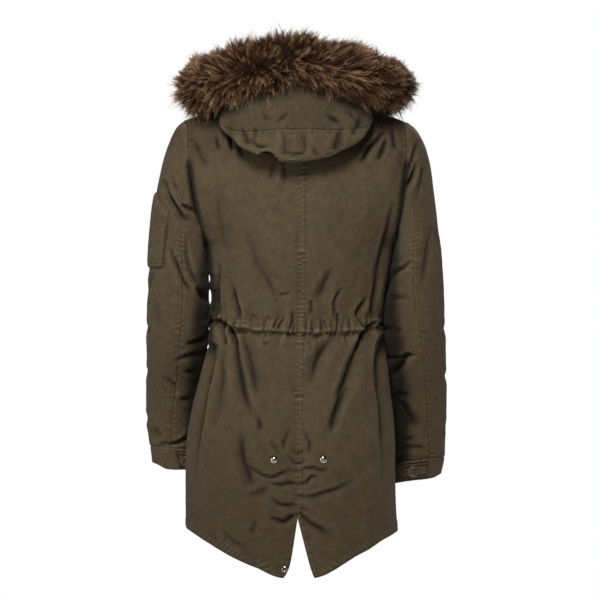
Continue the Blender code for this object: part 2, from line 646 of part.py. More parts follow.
def waist_strip(heights, columns: int, start: float, end: float) -> np.ndarray:
    """Points round the waist, from the right front over the back to the left front."""
    strips = []
    for side, facing, turn in ((-1, -1, 1), (-1, 1, -1), (1, 1, 1), (1, -1, -1)):
        u = np.linspace(start if facing < 0 else 0.0, end, columns + 1)[::turn]
        place = np.array([place_at(height, facing) for height in heights])
        strip = body_points(u, place, side, facing)
        strips.append(strip[:-1] if (side, facing) != (1, -1) else strip)
    return np.concatenate(strips)


def build_casing(finish) -> None:
    """The drawstring channel, gathered all the way round."""
    half = CASING_HEIGHT / 2
    heights = (WAIST_Z + half, WAIST_Z - half * 0.2, WAIST_Z - half)
    grid = waist_strip(heights, CASING_COLUMNS, CASING_FRONT_SHARE, 1.0)
    count = len(grid)
    wave = np.sin(2 * pi * CASING_GATHERS * np.arange(count) / (count - 1))[:, None]
    bulge = np.array((0.15, 1.0, 0.3))
    height = THIN_WALL + 5 * GAP + CASING_RIDGE * bulge * (1.0 + 0.8 * wave)
    grid = raised(grid, height[..., None], (0.0, 0.0, WAIST_Z))
    cloth("waist_casing", grid, finish, (0.0, 0.0, WAIST_Z), THIN_WALL)


def build_fly(finish) -> None:
    """The storm flap over the front closure."""
    u = seamed(FRONT_GRID[0])[:3]
    place = panel_places(-1)[2:]
    left = body_points(u, place, 1, -1)
    right = body_points(u, place, -1, -1)
    grid = np.concatenate((right[::-1], left))
    cloth("storm_flap", raised(grid, WALL + 5 * GAP, (0.0, 0.0, -0.4)), finish)


def build_cuffs(finish, horn) -> None:
    """Cuff bands, their straps, and the buttons on them."""
    for side, hand in ((1, "left"), (-1, "right")):
        last = cuff_place(side)
        middle = (side * CUFF_MIDDLE[0], *CUFF_MIDDLE[1:])
        share = np.linspace(0, 1, 25)
        place = last + np.array((0.0, 0.5, 1.0))
        band = sleeve_points(share, place, side)
        band[-1] = band[0]
        band[:, 0] += (band[:, 1] - band[:, 0]) * CUFF_START
        tube(f"cuff_{hand}", raised(band, CUFF_RISE, middle), finish, middle, CUFF_WALL)

        start, end = CUFF_TAB_SHARES[hand]
        along = np.linspace(0, 1, 11)
        radius = CUFF_TAB_WIDTH / 2 / CUFF_TAB_LENGTH
        short = np.clip((along - 1 + radius) / radius, 0, 0.97)
        half = CUFF_TAB_REACH * np.sqrt(1 - short**2)
        shares = start + (end - start) * along
        strap = np.stack([np.concatenate([sleeve_points(np.array([where]),
                                                        np.array([last + 0.5 + reach * width]), side)[0]
                                          for width in (-1, -0.35, 0.35, 1)])
                          for where, reach in zip(shares, half)]).reshape(11, 4, 3)
        strap = raised(strap, CUFF_RISE + WALL + 2 * GAP, middle)
        cloth(f"cuff_tab_{hand}", strap, finish, middle)
        column = CUFF_BUTTON_COLUMNS[hand]
        spot = strap[column, 1:3].mean(axis=0)
        normal = outward(strap, middle)[column, 1:3].mean(axis=0)
        turned(f"cuff_button_{hand}", BUTTON_PROFILE, spot + normal * 2.5 * GAP, normal, horn)


def build_pocket(finish) -> None:
    """The utility pocket on the left sleeve, with the guard over its zip."""
    middle = (0.224, 0.0, -0.25)
    for name, shares, places, height in (
            ("sleeve_pocket", np.linspace(*POCKET_SHARES, 9), np.linspace(*POCKET_PLACES, 9),
             WALL + 4 * GAP),
            ("sleeve_pocket_welt", np.linspace(*WELT_SHARES, 3), np.linspace(*WELT_PLACES, 9),
             2 * WALL + 6 * GAP)):
        grid = sleeve_points(shares, places, 1)
        cloth(name, raised(grid, height, middle), finish, middle)


def build_hood(finish) -> None:
    """Hood panels, the band at the mouth and the strip that carries the fur."""
    names = ("hood_side_left", "hood_crown_left", "hood_crown_right", "hood_side_right")
    shares = [seamed(columns, start, end)
              for start, end, columns in zip(HOOD_SEAMS, HOOD_SEAMS[1:], HOOD_COLUMNS)]
    for name, share in zip(names, shares):
        grid = hood_points(share, hood_depths(share, NECK_SEAM, BAND_START, np.linspace(0, 1, 11)))
        cloth(name, trimmed(grid, GAP, GAP, GAP / 2, 2.5 * GAP), finish, None)
    whole = np.unique(np.concatenate(shares))
    steps = np.linspace(0, 1, 5)
    for name, start, end in (("hood_band", BAND_START, TAPE_START), ("fur_tape", TAPE_START, MOUTH)):
        grid = hood_points(whole, hood_depths(whole, start, end, steps))
        cloth(name, trimmed(grid, 0, 0, 2 * GAP, 2 * GAP), finish, None, THIN_WALL)


def build_fur(finish) -> None:
    """The fur as one lumpy roll along the mouth of the hood."""
    share = np.linspace(0.0, 1.0, FUR_STEPS)
    rings = fur_points(share, FUR_SIDES)
    rings = np.concatenate((rings, rings[:, :1]), axis=1)
    work = sheet_mesh(rings, (0.0, 0.0, 0.0))
    bmesh.ops.remove_doubles(work, verts=work.verts, dist=1e-5)
    bmesh.ops.holes_fill(work, edges=[edge for edge in work.edges if edge.is_boundary], sides=0)
    bmesh.ops.recalc_face_normals(work, faces=work.faces)
    add_object("fur_trim", work, finish)


def back_spot(x: float, z: float):
    """Where a straight line from behind meets the back, and the way that the cloth faces there."""
    side = 1.0 if x > 0 else -1.0
    grid = body_points(seamed(BACK_GRID[0]), panel_places(1), side, 1)
    work = sheet_mesh(grid, (0.0, 0.0, z))
    spot, normal, _, _ = BVHTree.FromBMesh(work).ray_cast(vector((x, 1.0, z)), vector((0.0, -1.0, 0.0)))
    work.free()
    return np.array(spot), np.array(normal)


def build_snaps(finish) -> None:
    """Domed studs below the seat, and the socket at the tip of the left tail."""
    for name, (x, z) in SNAP_SPOTS.items():
        spot, normal = back_spot(x, z)
        turned(name, SNAP_PROFILE, spot + normal * 2 * GAP, normal, finish)
    spot, normal = back_spot(*SOCKET_SPOT)
    turned("snap_tail", SOCKET_PROFILE, spot + normal * 2 * GAP, normal, finish)


clear_scene()
parka = bpy.data.collections.new("fur_trimmed_parka")
bpy.context.scene.collection.children.link(parka)
twill = material("washed_twill", (0.093, 0.074, 0.045), 0.82)
pile = material("long_pile_fur", (0.115, 0.060, 0.030), 0.60)
nickel = material("nickel_plated_brass", (0.62, 0.60, 0.57), 0.25, 1.0)
resin = material("cast_resin", (0.075, 0.060, 0.038), 0.45)
build_body(twill)
build_sleeves(twill)
build_casing(twill)
build_fly(twill)
build_cuffs(twill, resin)
build_pocket(twill)
build_hood(twill)
build_fur(pile)
build_snaps(nickel)
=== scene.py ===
"""Fur trimmed parka: the finish of every piece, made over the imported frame.

A fishtail parka in washed cotton twill, filled out as worn and seen from behind, with its hood
down and a long-pile fur edge.  The wearer faces -Y with the left arm at +X and +Z is up.  Forms
are in metres.  Creases, stitching and other small work are given in millimetres.
"""

import logging
from dataclasses import dataclass, field
from enum import Enum
from math import cos, pi, radians, sin
from typing import NamedTuple, Sequence

import bmesh
import bpy
import numpy as np
from bpy.types import ID, Material, Mesh, Node, NodeTree, Object
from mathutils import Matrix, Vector

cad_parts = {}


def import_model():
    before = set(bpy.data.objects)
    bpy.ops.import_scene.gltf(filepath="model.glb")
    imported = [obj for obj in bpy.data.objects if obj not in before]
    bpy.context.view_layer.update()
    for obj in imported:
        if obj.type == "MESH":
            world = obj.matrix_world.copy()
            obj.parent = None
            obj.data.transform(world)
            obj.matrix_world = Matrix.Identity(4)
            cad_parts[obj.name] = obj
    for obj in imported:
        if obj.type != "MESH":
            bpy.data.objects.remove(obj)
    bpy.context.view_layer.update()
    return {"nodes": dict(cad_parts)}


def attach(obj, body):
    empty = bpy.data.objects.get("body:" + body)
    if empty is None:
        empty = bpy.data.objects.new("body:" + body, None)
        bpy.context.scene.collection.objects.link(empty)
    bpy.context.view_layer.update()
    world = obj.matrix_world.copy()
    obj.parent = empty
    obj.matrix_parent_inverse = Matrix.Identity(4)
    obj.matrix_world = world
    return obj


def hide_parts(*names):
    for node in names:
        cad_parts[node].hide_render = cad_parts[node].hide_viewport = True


Array = np.ndarray
Pair = tuple[float, float]
MM = 0.001
LEFT, RIGHT = 1.0, -1.0  # the wearer's sides
BACK, FRONT = 1.0, -1.0  # the two faces of the body
WALL = 0.0014  # one layer of twill with its seam allowance
WAIST_Z = -0.4275  # middle of the drawstring channel
VENT_TOP = -0.793
THIN_WALL = 0.0012  # a strip without a seam allowance
BODY_MIDDLE = (0.0, 0.0, -0.4)
STITCH_PITCH = 3.4  # one stitch and the hole after it, in mm
STITCH_LENGTH = 2.7
STITCH_WIDTH = 0.55  # thread swollen by washing
STITCH_RISE = 0.30
STITCH_SINK = 0.30  # how far the cloth is drawn in along a row
RELIEF_REACH = 7.0  # how far round a point its height is averaged for the painted light and shade, in mm
FULL_RIDGE_HIGHLIGHT, FULL_HOLLOW_SHADE, FULL_FOLD = 1.6, 3.2, 9.0  # heights and depths that give the strongest painted highlight and painted shade, in mm
SEED_SLUMP, SEED_WARP, SEED_SEAM = 1, 31, 3  # fields of unevenness

log = logging.getLogger("parka")


# ---- small tools
def linear(code: str) -> tuple[float, float, float, float]:
    """Turns an sRGB hex value to linear colour.

    Args:
        code: Six hex digits after a #.

    Returns:
        Red, green, blue and alpha, each from 0 to 1.
    """
    parts = [int(code[at:at + 2], 16) / 255 for at in (1, 3, 5)]
    red, green, blue = (part / 12.92 if part <= 0.04045 else ((part + 0.055) / 1.055) ** 2.4
                        for part in parts)
    return red, green, blue, 1.0


def add_node(tree: NodeTree, kind: str, settings: dict | None = None,
             links: dict | None = None) -> Node:
    """Adds a node, sets its properties and inputs, and links what feeds it.

    Args:
        tree: The node tree that takes the node.
        kind: The node's type name without its ShaderNode start.
        settings: Property or input names with their values, and a colour ramp's stops.
        links: Input names or numbers with the output socket that feeds each.

    Returns:
        The new node.
    """
    node = tree.nodes.new("ShaderNode" + kind)
    for name, value in (settings or {}).items():
        if name == "stops":
            elements = node.color_ramp.elements
            while len(elements) < len(value):
                elements.new(1.0)
            for element, (place, code) in zip(elements, value):
                element.position, element.color = place, linear(code)
        elif isinstance(name, str) and hasattr(node, name):
            setattr(node, name, value)
        else:
            node.inputs[name].default_value = value
    for name, output in (links or {}).items():
        tree.links.new(output, node.inputs[name])
    return node


def unit(vectors: Array) -> Array:
    """Vectors scaled to a length of one."""
    return vectors / np.maximum(np.linalg.norm(vectors, axis=-1, keepdims=True), 1e-9)


def smooth(low: float, high: float, value: Array) -> Array:
    """A soft step from 0 at low to 1 at high."""
    t = np.clip((value - low) / (high - low), 0, 1)
    return t * t * (3 - 2 * t)


def noise(points: Array, size: Sequence[float], seed: int) -> Array:
    """Smooth random values over space, from -1 to 1.

    Args:
        points: Positions, with three numbers in the last axis.
        size: Length of one bump along x, y and z, in metres.
        seed: Which field of values to read.

    Returns:
        One value for each position.
    """
    place = points / np.asarray(size, float) + 37.3 * seed
    cell = np.floor(place).astype(np.int64)
    t = place - cell
    t = t * t * (3 - 2 * t)
    total = np.zeros(points.shape[:-1])
    for corner in np.ndindex(2, 2, 2):
        at = cell + np.array(corner)
        mixed = (at[..., 0] * 374761393 + at[..., 1] * 668265263 + at[..., 2] * 2246822519) & 0xffffffff
        mixed = ((mixed ^ (mixed >> 13)) * 1274126177) & 0xffffffff
        value = ((mixed ^ (mixed >> 16)) & 0xffff) / 32767.5 - 1
        weight = np.ones(total.shape)
        for axis in range(3):
            weight = weight * (t[..., axis] if corner[axis] else 1 - t[..., axis])
        total += value * weight
    return total


def wander(length: Array, size: float, seed: int) -> Array:
    """Smooth random values along a line, from -1 to 1."""
    points = np.stack((length, np.zeros_like(length), np.zeros_like(length)), axis=-1)
    return noise(points, (size, 1.0, 1.0), seed)


def mound(value: Array, middle: float, width: float) -> Array:
    """A bell-shaped rise to 1 about a middle value."""
    return np.exp(-((value - middle) / width) ** 2)


def band(value: Array, rise: Pair, fall: Pair) -> Array:
    """A soft step up over one range of values, and down again over another."""
    return smooth(*rise, value) * (1 - smooth(*fall, value))


def graded(length: float, step: float, fine_first: bool = True, fine_last: bool = True) -> Array:
    """Shares from 0 to 1 along a length, set closer beside a stitched edge.

    Args:
        length: The whole length in metres.
        step: Spacing away from the edges in metres.
        fine_first: Whether the first edge is stitched.
        fine_last: Whether the last edge is stitched.

    Returns:
        The shares, in order.
    """
    beside = np.array((0, 0.8, 1.8, 3.0, 4.4, 6.0, 7.6, 9.4, 11.6, 14.2)) * MM
    first, last = (beside if fine else np.array([0.0]) for fine in (fine_first, fine_last))
    count = max(int((length - first[-1] - last[-1]) / step), 2)
    middle = np.linspace(first[-1], length - last[-1], count + 1)
    return np.concatenate((first[:-1], middle, (length - last[:-1])[::-1])) / length


# ---- grids of points
def blend_rows(rows: Array, place: Array) -> Array:
    """Reads a smooth curve through equally spaced rows.

    Args:
        rows: The rows, which may hold numbers, points or lists of points.
        place: Where to read, from 0 to the last row.

    Returns:
        One row for each place.
    """
    last = len(rows) - 1
    low = np.clip(np.floor(place).astype(int), 0, last - 1)
    t = (place - low).reshape(place.shape + (1,) * (rows.ndim - 1))
    before = rows[np.maximum(low - 1, 0)]
    start, end = rows[low], rows[low + 1]
    after = rows[np.minimum(low + 2, last)]
    tangent_in, tangent_out = (end - before) / 2, (after - start) / 2
    return ((2 * t**3 - 3 * t**2 + 1) * start + (t**3 - 2 * t**2 + t) * tangent_in
            + (3 * t**2 - 2 * t**3) * end + (t**3 - t**2) * tangent_out)


def bezier(points: Sequence, t: Array) -> Array:
    """Points of a quadratic or cubic Bezier curve.

    Args:
        points: Its control points, each one point or one for each t.
        t: Ways along it.

    Returns:
        One point for each t.
    """
    level = [np.asarray(point, float) * np.ones(t.shape + (1,)) for point in points]
    step = t[..., None]
    while len(level) > 1:
        level = [a + (b - a) * step for a, b in zip(level, level[1:])]
    return level[0]


def normals(grid: Array, middle: Sequence[float] | None = None) -> Array:
    """Unit normals of a grid.

    Args:
        grid: Columns by rows by three.
        middle: A point that they turn away from, if one is given.

    Returns:
        One normal for each point.
    """
    normal = unit(np.cross(np.gradient(grid, axis=0), np.gradient(grid, axis=1)))
    if middle is not None and ((grid - np.asarray(middle)) * normal).sum() < 0:
        return -normal
    return normal


def run(grid: Array, axis: int) -> Array:
    """Length along each line of a grid, from its first point.

    Args:
        grid: Columns by rows by three.
        axis: 0 for lines across the columns, 1 for lines down the rows.

    Returns:
        One length for each point.
    """
    steps = np.linalg.norm(np.diff(grid, axis=axis), axis=2)
    start = np.zeros_like(np.take(steps, [0], axis=axis))
    return np.concatenate((start, np.cumsum(steps, axis=axis)), axis=axis)


def read_line(line: Array, length: Array, at: Array) -> Array:
    """A line's points, or its other vectors, at lengths along it."""
    return np.stack([np.interp(at, length, line[:, axis]) for axis in range(3)], axis=-1)


# ---- creases
class Seen(Enum):
    """The side that a crease is drawn from, as the two axes it is drawn in and its outlook."""
    BACK = (0, 2, 1, 1.0)
    FRONT = (0, 2, 1, -1.0)
    OUTER_LEFT = (1, 2, 0, 1.0)
    OUTER_RIGHT = (1, 2, 0, -1.0)


class Crease(NamedTuple):
    """A soft trough drawn through two or more points, in millimetres."""
    seen: Seen
    path: tuple[tuple[float, ...], ...]
    width: float  # from its lowest line to where it has mostly risen
    depth: float  # below 0 it is a ridge
    start: float = 0.0  # share of its depth at its first point
    bite: float = 0.0  # above 0 its flank to the right of its run is the steeper one


def read_table(text: str) -> tuple[tuple[float, ...], ...]:
    """Reads rows that are parted by spaces, with commas between their numbers."""
    return tuple(tuple(float(part) for part in row.split(",")) for row in text.split())


def folds(seen: Seen, rows: Sequence[tuple]) -> tuple[Crease, ...]:
    """Creases drawn from one side, from rows of a path, width, depth, start and bite."""
    return tuple(Crease(seen, read_table(path), *rest) for path, *rest in rows)


def crease_relief(points: Array, normal: Array, creases: Sequence[Crease]) -> Array:
    """How far creases raise each point.

    Args:
        points: The cloth's points.
        normal: Its outward normals there.
        creases: The creases to press in.

    Returns:
        Heights in metres, below 0 in a trough.
    """
    relief = np.zeros(points.shape[:-1])
    warp = [MM * (2.6 * noise(points, (0.026,) * 3, seed)
                  + 0.9 * noise(points, (0.009,) * 3, seed + 2)) for seed in (SEED_WARP, SEED_WARP + 1)]
    for crease in creases:
        across, up, out, facing = crease.seen.value
        path = blend_rows(np.array(crease.path, float) * MM, np.linspace(0, len(crease.path) - 1, 19))
        drift = min(crease.width / 11, 1.0)
        x, z = points[..., across] + drift * warp[0], points[..., up] + drift * warp[1]
        reach = 3.4 * crease.width * MM
        near = ((x > path[:, 0].min() - reach) & (x < path[:, 0].max() + reach)
                & (z > path[:, 1].min() - reach) & (z < path[:, 1].max() + reach)
                & (normal[..., out] * facing > 0.02))
        if not near.any():
            continue
        x, z = x[near], z[near]
        best = np.full(x.shape, 1.0)
        share, lip = np.zeros(x.shape), np.ones(x.shape)
        for number, (start, end) in enumerate(zip(path, path[1:])):
            step = end - start
            t = ((x - start[0]) * step[0] + (z - start[1]) * step[1]) / (step @ step)
            t = np.clip(t, 0, 1)
            away_x, away_z = x - start[0] - t * step[0], z - start[1] - t * step[1]
            away = np.hypot(away_x, away_z)
            side = np.sign(step[0] * away_z - step[1] * away_x) * facing
            level = np.abs(step[0]) / np.hypot(*step)
            closer = away < np.abs(best)
            lip = np.where(closer, 1 - 0.32 * level * np.sign(away_z), lip)
            best = np.where(closer, away * np.where(side == 0, 1, side), best)
            share = np.where(closer, (number + t) / (len(path) - 1), share)
        spread = crease.width * MM * (1 + crease.bite * np.sign(best)) * lip * (0.85 + 0.4 * share)
        s = np.abs(best) / spread
        profile = np.exp(-1.5 * (np.sqrt(s**2 + 0.06) - 0.245)) - 0.26 * mound(s, 2.0, 0.8)
        fade = crease.start + (1 - crease.start) * smooth(0, 0.35, share)
        fade *= (1 - smooth(0.62, 1.0, share)) * smooth(0.02, 0.35, normal[..., out][near] * facing)
        relief[near] -= 1.45 * crease.depth * MM * profile * fade
    return relief


class Edge(Enum):
    """The four edges of a grid."""
    FIRST = "first"
    LAST = "last"
    TOP = "top"
    BOTTOM = "bottom"


class Seam(NamedTuple):
    """A stitched edge of a piece, in millimetres."""
    edge: Edge
    lines: tuple[float, ...] = ()  # how far in each row of stitches lies
    pucker: float = 0.0  # height of the ripples that the stitching draws up
    pitch: float = 9.0  # length of one ripple
    spread: float = 8.0  # how far in the ripples reach
    sink: float = 0.5  # how far the edge itself is drawn in
    thick: float = 0.0  # extra height of the folded layers inside the stitching
    span: Pair = (0.0, 1.0)  # shares of the edge that are stitched
    lean: float = 0.0  # how far along the ripples run for each step in


# ---- mesh making
class Slot(Enum):
    """Slot names for the finishes."""
    TWILL = "twill"
    FUR = "fur"
    BUTTONS = "buttons"
    SNAPS = "snaps"


class Held(Enum):
    """What keeps a sheet in its shape."""
    HUNG = "hung"
    GATHERED = "gathered"
    DRAPED = "draped"


def mesh_from_arrays(name: str, points: Array, faces: Sequence[Array]) -> Mesh:
    """Joins many small shapes into one mesh.

    Args:
        name: The mesh's name.
        points: Vertex positions, three numbers each.
        faces: Arrays of vertex numbers, one array for each count of corners.

    Returns:
        The mesh.
    """
    mesh = bpy.data.meshes.new(name)
    mesh.from_pydata(points.tolist(), (), [face for block in faces for face in block.tolist()])
    mesh.validate()
    return mesh


def mesh_from_work(name: str, work: bmesh.types.BMesh) -> Mesh:
    """Turns a finished bmesh into a mesh, and frees it.

    Args:
        name: The mesh's name.
        work: The bmesh.

    Returns:
        The mesh.
    """
    mesh = bpy.data.meshes.new(name)
    work.to_mesh(mesh)
    work.free()
    return mesh


def link_object(name: str, data: ID) -> Object:
    """Puts a mesh, a light or a camera into the scene.

    Args:
        name: The object's name.
        data: What it holds.

    Returns:
        The new object.
    """
    made = bpy.data.objects.new(name, data)
    bpy.context.scene.collection.objects.link(made)
    return made


def add_object(name: str, mesh: Mesh, finish: Material,
               nodes: Sequence[str] = ()) -> Object:
    """Puts a mesh into the scene as a piece of the garment.

    Args:
        name: The piece's name.
        mesh: Its mesh.
        finish: Its material.
        nodes: Frame nodes that it stands for.

    Returns:
        The new object.
    """
    mesh.materials.append(finish)
    mesh.shade_smooth()
    made = link_object(f"{name}_dressed" if nodes else name, mesh)
    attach(made, "root")
    if nodes:
        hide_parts(*nodes)
    log.info("%s: %d faces", name, len(mesh.polygons))
    return made


def add_values(mesh: Mesh, name: str, values: Array) -> None:
    """Stores one number at each vertex."""
    table = mesh.attributes.new(name, "FLOAT", "POINT")
    table.data.foreach_set("value", values.astype(np.float32).ravel())


@dataclass
class Cloth:
    """A piece of cloth: a grid of points with its seams and creases."""
    name: str
    grid: Array  # columns by rows by three
    middle: Sequence[float] | None  # a point behind the cloth, or None where the grid runs rightly
    seams: tuple[Seam, ...] = ()
    creases: tuple[Crease, ...] = ()
    wall: float = WALL
    slump: float = 1.0  # strength of the soft unevenness of worn cloth
    relief: Array = field(init=False)  # height over the grid
    normal: Array = field(init=False)
    across: Array = field(init=False)  # lengths from the first column and row
    down: Array = field(init=False)
    seam_wear_and_painted_light: Array = field(init=False)  # wear beside the seams, with painted highlight on crests and painted shade in troughs and stitched grooves
    fold: Array = field(init=False)  # the creases' own share of the relief
    painted_shade: Array = field(init=False)  # painted shade where layers lie close and where shade falls

    def __post_init__(self) -> None:
        """Measures the flat grid."""
        self.across, self.down = run(self.grid, 0), run(self.grid, 1)
        self.normal = normals(self.grid, self.middle)
        self.relief, self.seam_wear_and_painted_light, self.fold, self.painted_shade = np.zeros((4, *self.grid.shape[:2]))

    def from_edge(self, edge: Edge) -> tuple[Array, Array, Array]:
        """Places every point beside an edge.

        Args:
            edge: The edge.

        Returns:
            Distance from it, length along it and share along it, at each point.
        """
        if edge in (Edge.FIRST, Edge.LAST):
            away = self.across if edge is Edge.FIRST else self.across[-1:] - self.across
            line = self.down[0:1] if edge is Edge.FIRST else self.down[-1:]
        else:
            away = self.down if edge is Edge.TOP else self.down[:, -1:] - self.down
            line = self.across[:, 0:1] if edge is Edge.TOP else self.across[:, -1:]
        along = np.broadcast_to(line, away.shape)
        return away, along, along / max(float(line.max()), 1e-6)

    def dress(self) -> "Cloth":
        """Presses the creases, the seams and the slump into the cloth.

        Returns:
            The cloth itself.
        """
        self.fold = crease_relief(self.grid, self.normal, self.creases)
        height = self.fold + self.slump * MM * (
            3.0 * noise(self.grid, (0.045, 0.045, 0.150), SEED_SLUMP)
            - 1.2 * np.abs(noise(self.grid, (0.026, 0.026, 0.055), SEED_SLUMP + 1))
            - 0.35 * np.abs(noise(self.grid, (0.012, 0.012, 0.022), SEED_SLUMP + 2)))
        for seam in self.seams:
            away, along, share = self.from_edge(seam.edge)
            first, last = seam.span
            held = band(share, (first - 0.02, first), (last, last + 0.02))
            pitch = seam.pitch * MM
            phase = (along + seam.lean * away) / pitch + 0.6 * wander(along, 2.6 * pitch, SEED_SEAM)
            ripple = np.sin(2 * pi * phase) * (0.55 + 0.8 * wander(along, 0.027, SEED_SEAM + 2))
            inside = max(seam.lines, default=0.0) * MM
            reach = mound(away, inside / 2, seam.spread * MM)
            change = seam.pucker * ripple * reach - seam.sink * mound(away, 0, 1.1 * MM)
            for line in seam.lines:
                change -= STITCH_SINK * mound(away, line * MM, 0.9 * MM)
                # painted shade in each stitched groove
                self.seam_wear_and_painted_light -= 0.55 * held * mound(away, line * MM, 1.0 * MM)
            if seam.lines:
                change += seam.thick * (1 - smooth(inside - 0.5 * MM, inside + 1.5 * MM, away))
            height += MM * change * held
            # pale wear at the seam, with painted highlight on the pucker crests and painted shade in their
            # troughs
            self.seam_wear_and_painted_light += held * reach * (0.9 * ripple * min(seam.pucker, 1.35) + 0.12)
        self.relief = self.relief + height
        return self

    def points(self) -> Array:
        """The cloth's outer points."""
        return self.grid + self.normal * self.relief[..., None]

    def tones(self) -> tuple[Array, Array]:
        """Seam wear, and painted light and shade that follow the relief.

        Returns:
            Seam wear with painted highlight, most on ridges, from -1 to 1 with painted shade below 0,
            and painted shade in hollows, creases and close layers, from 0 to 1.
        """
        soft, step = self.relief, np.median(np.diff(self.down, axis=1)) / MM
        for _ in range(int((RELIEF_REACH / step) ** 2 * 2)):
            edged = np.pad(soft, 1, mode="edge")
            soft = (edged[:-2, 1:-1] + edged[2:, 1:-1] + edged[1:-1, :-2] + edged[1:-1, 2:]) / 4
        proud = (self.relief - soft) / MM
        # painted highlight on ridges
        wear = self.seam_wear_and_painted_light + 0.30 * np.clip(proud / FULL_RIDGE_HIGHLIGHT - 0.15, 0, 1)
        # painted shade in hollows and down creases
        gloom = 0.6 * np.clip(-proud / FULL_HOLLOW_SHADE, 0, 1)
        gloom += 0.32 * np.clip(-self.fold / (FULL_FOLD * MM) - 0.08, 0, 1)
        return np.clip(wear, -1, 1), np.clip(gloom + self.painted_shade, 0, 1)

    def mesh(self) -> Mesh:
        """Makes the dressed sheet's mesh, its faces outwards.

        Returns:
            The mesh, with its cut as UV, its wear with painted light, and its painted shade.
        """
        chart = np.stack((self.across, self.down, *self.tones()), axis=2)
        whole = np.concatenate((self.points(), chart), axis=2)
        if (normals(whole[..., :3]) * self.normal).sum() < 0:
            whole = whole[::-1]
        columns, rows = whole.shape[:2]
        work = bmesh.new()
        bmesh.ops.create_grid(work, x_segments=columns - 1, y_segments=rows - 1, size=0.5)
        mesh = mesh_from_work(self.name, work)
        table = np.swapaxes(whole, 0, 1).reshape(-1, 7)  # create_grid numbers its vertices row by row
        mesh.vertices.foreach_set("co", table[:, 0:3].ravel())
        corner = np.empty(len(mesh.loops), dtype=np.int32)
        mesh.loops.foreach_get("vertex_index", corner)
        mesh.uv_layers.new(name="cloth").data.foreach_set("uv", table[corner, 3:5].ravel())
        add_values(mesh, "wear", table[:, 5])
        add_values(mesh, "gloom", table[:, 6])
        mesh.update()
        return mesh

    def build(self, finish: Material, held: Held = Held.HUNG) -> None:
        """Args:
            finish: The cloth's material.
            held: How it hangs; not used.
        """
        made = add_object(self.name, self.mesh(), finish, (self.name,))
        wall = made.modifiers.new("wall", "SOLIDIFY")
        wall.thickness, wall.offset = self.wall, -1.0

    def stitches(self) -> Array:
        """Finds the stitches on the cloth's seams.

        Returns:
            Starts, ends and facings of all stitches.
        """
        found = [np.empty((3, 0, 3))]
        points = self.points()
        for seam in self.seams:
            away, _, share = self.from_edge(seam.edge)
            held = (seam.span[0] <= share) & (share <= seam.span[1])
            values = [points, self.normal, away, held]
            if seam.edge in (Edge.TOP, Edge.BOTTOM):
                values = [np.swapaxes(value, 0, 1) for value in values]
            if seam.edge in (Edge.LAST, Edge.BOTTOM):
                values = [value[::-1] for value in values]
            found += [stitch_row(*values, line * MM) for line in seam.lines]
        return np.concatenate(found, axis=1)


def stitch_row(grid: Array, normal: Array, away: Array, held: Array,
               inset: float) -> Array:
    """Finds the stitches of one row.

    Args:
        grid: The cloth's points, its first column at the seam.
        normal: Its outward normals.
        away: How far each point is from the seam.
        held: Where the seam is stitched.
        inset: How far in the row lies.

    Returns:
        The stitches' starts, ends and facings, as three lists of vectors.
    """
    path, outlook, kept = [], [], []
    for row in np.nonzero(away[-1] >= inset)[0]:
        place = np.interp(inset, away[:, row], np.arange(len(away)))
        low = int(min(place, len(away) - 2))
        t = place - low
        path.append(grid[low, row] * (1 - t) + grid[low + 1, row] * t)
        outlook.append(normal[low, row])
        kept.append(float(held[low, row]))
    if len(path) < 3:
        return np.empty((3, 0, 3))
    path, outlook = np.array(path), np.array(outlook)
    length = run(path[None], 1)[0]
    begin = np.arange(0.0015, length[-1] - 0.004, STITCH_PITCH * MM)
    begin = begin[np.interp(begin, length, kept) > 0.5]
    return np.stack((read_line(path, length, begin), read_line(path, length, begin + STITCH_LENGTH * MM),
                     unit(read_line(outlook, length, begin))))


@dataclass
class Stitching:
    """Rows of lockstitch, each stitch a small spindle of thread."""
    name: str
    finish: Material
    cloths: list[Cloth] = field(default_factory=list)

    def build(self) -> None:
        """Joins all stitches into one mesh."""
        start, end, out = np.concatenate([cloth.stitches() for cloth in self.cloths], axis=1)
        side = unit(np.cross(unit(end - start), out))
        centre = (start + end) / 2 + out * STITCH_RISE * MM
        half = STITCH_WIDTH * MM / 2
        rings = (start + out * 0.02 * MM, centre + side * half, centre + out * half * 0.8,
                 centre - side * half, end + out * 0.02 * MM)
        points = np.stack(rings, axis=1).reshape(-1, 3)
        one = np.array([(0, 2, 1), (0, 3, 2), (0, 1, 3), (4, 1, 2), (4, 2, 3), (4, 3, 1)])
        faces = (np.arange(len(start))[:, None, None] * 5 + one).reshape(-1, 3)
        add_object(self.name, mesh_from_arrays(self.name, points, (faces,)), self.finish)


# ---- finishes
def new_finish(name: str, settings: dict) -> tuple[Material, NodeTree, Node]:
    """Starts a material.

    Args:
        name: The material's name.
        settings: Its shader's inputs with their values.

    Returns:
        The material, its node tree and its shader.
    """
    made = bpy.data.materials.new(name)
    made.use_nodes = True
    shader = made.node_tree.nodes["Principled BSDF"]
    for place, value in settings.items():
        shader.inputs[place].default_value = value
    return made, made.node_tree, shader


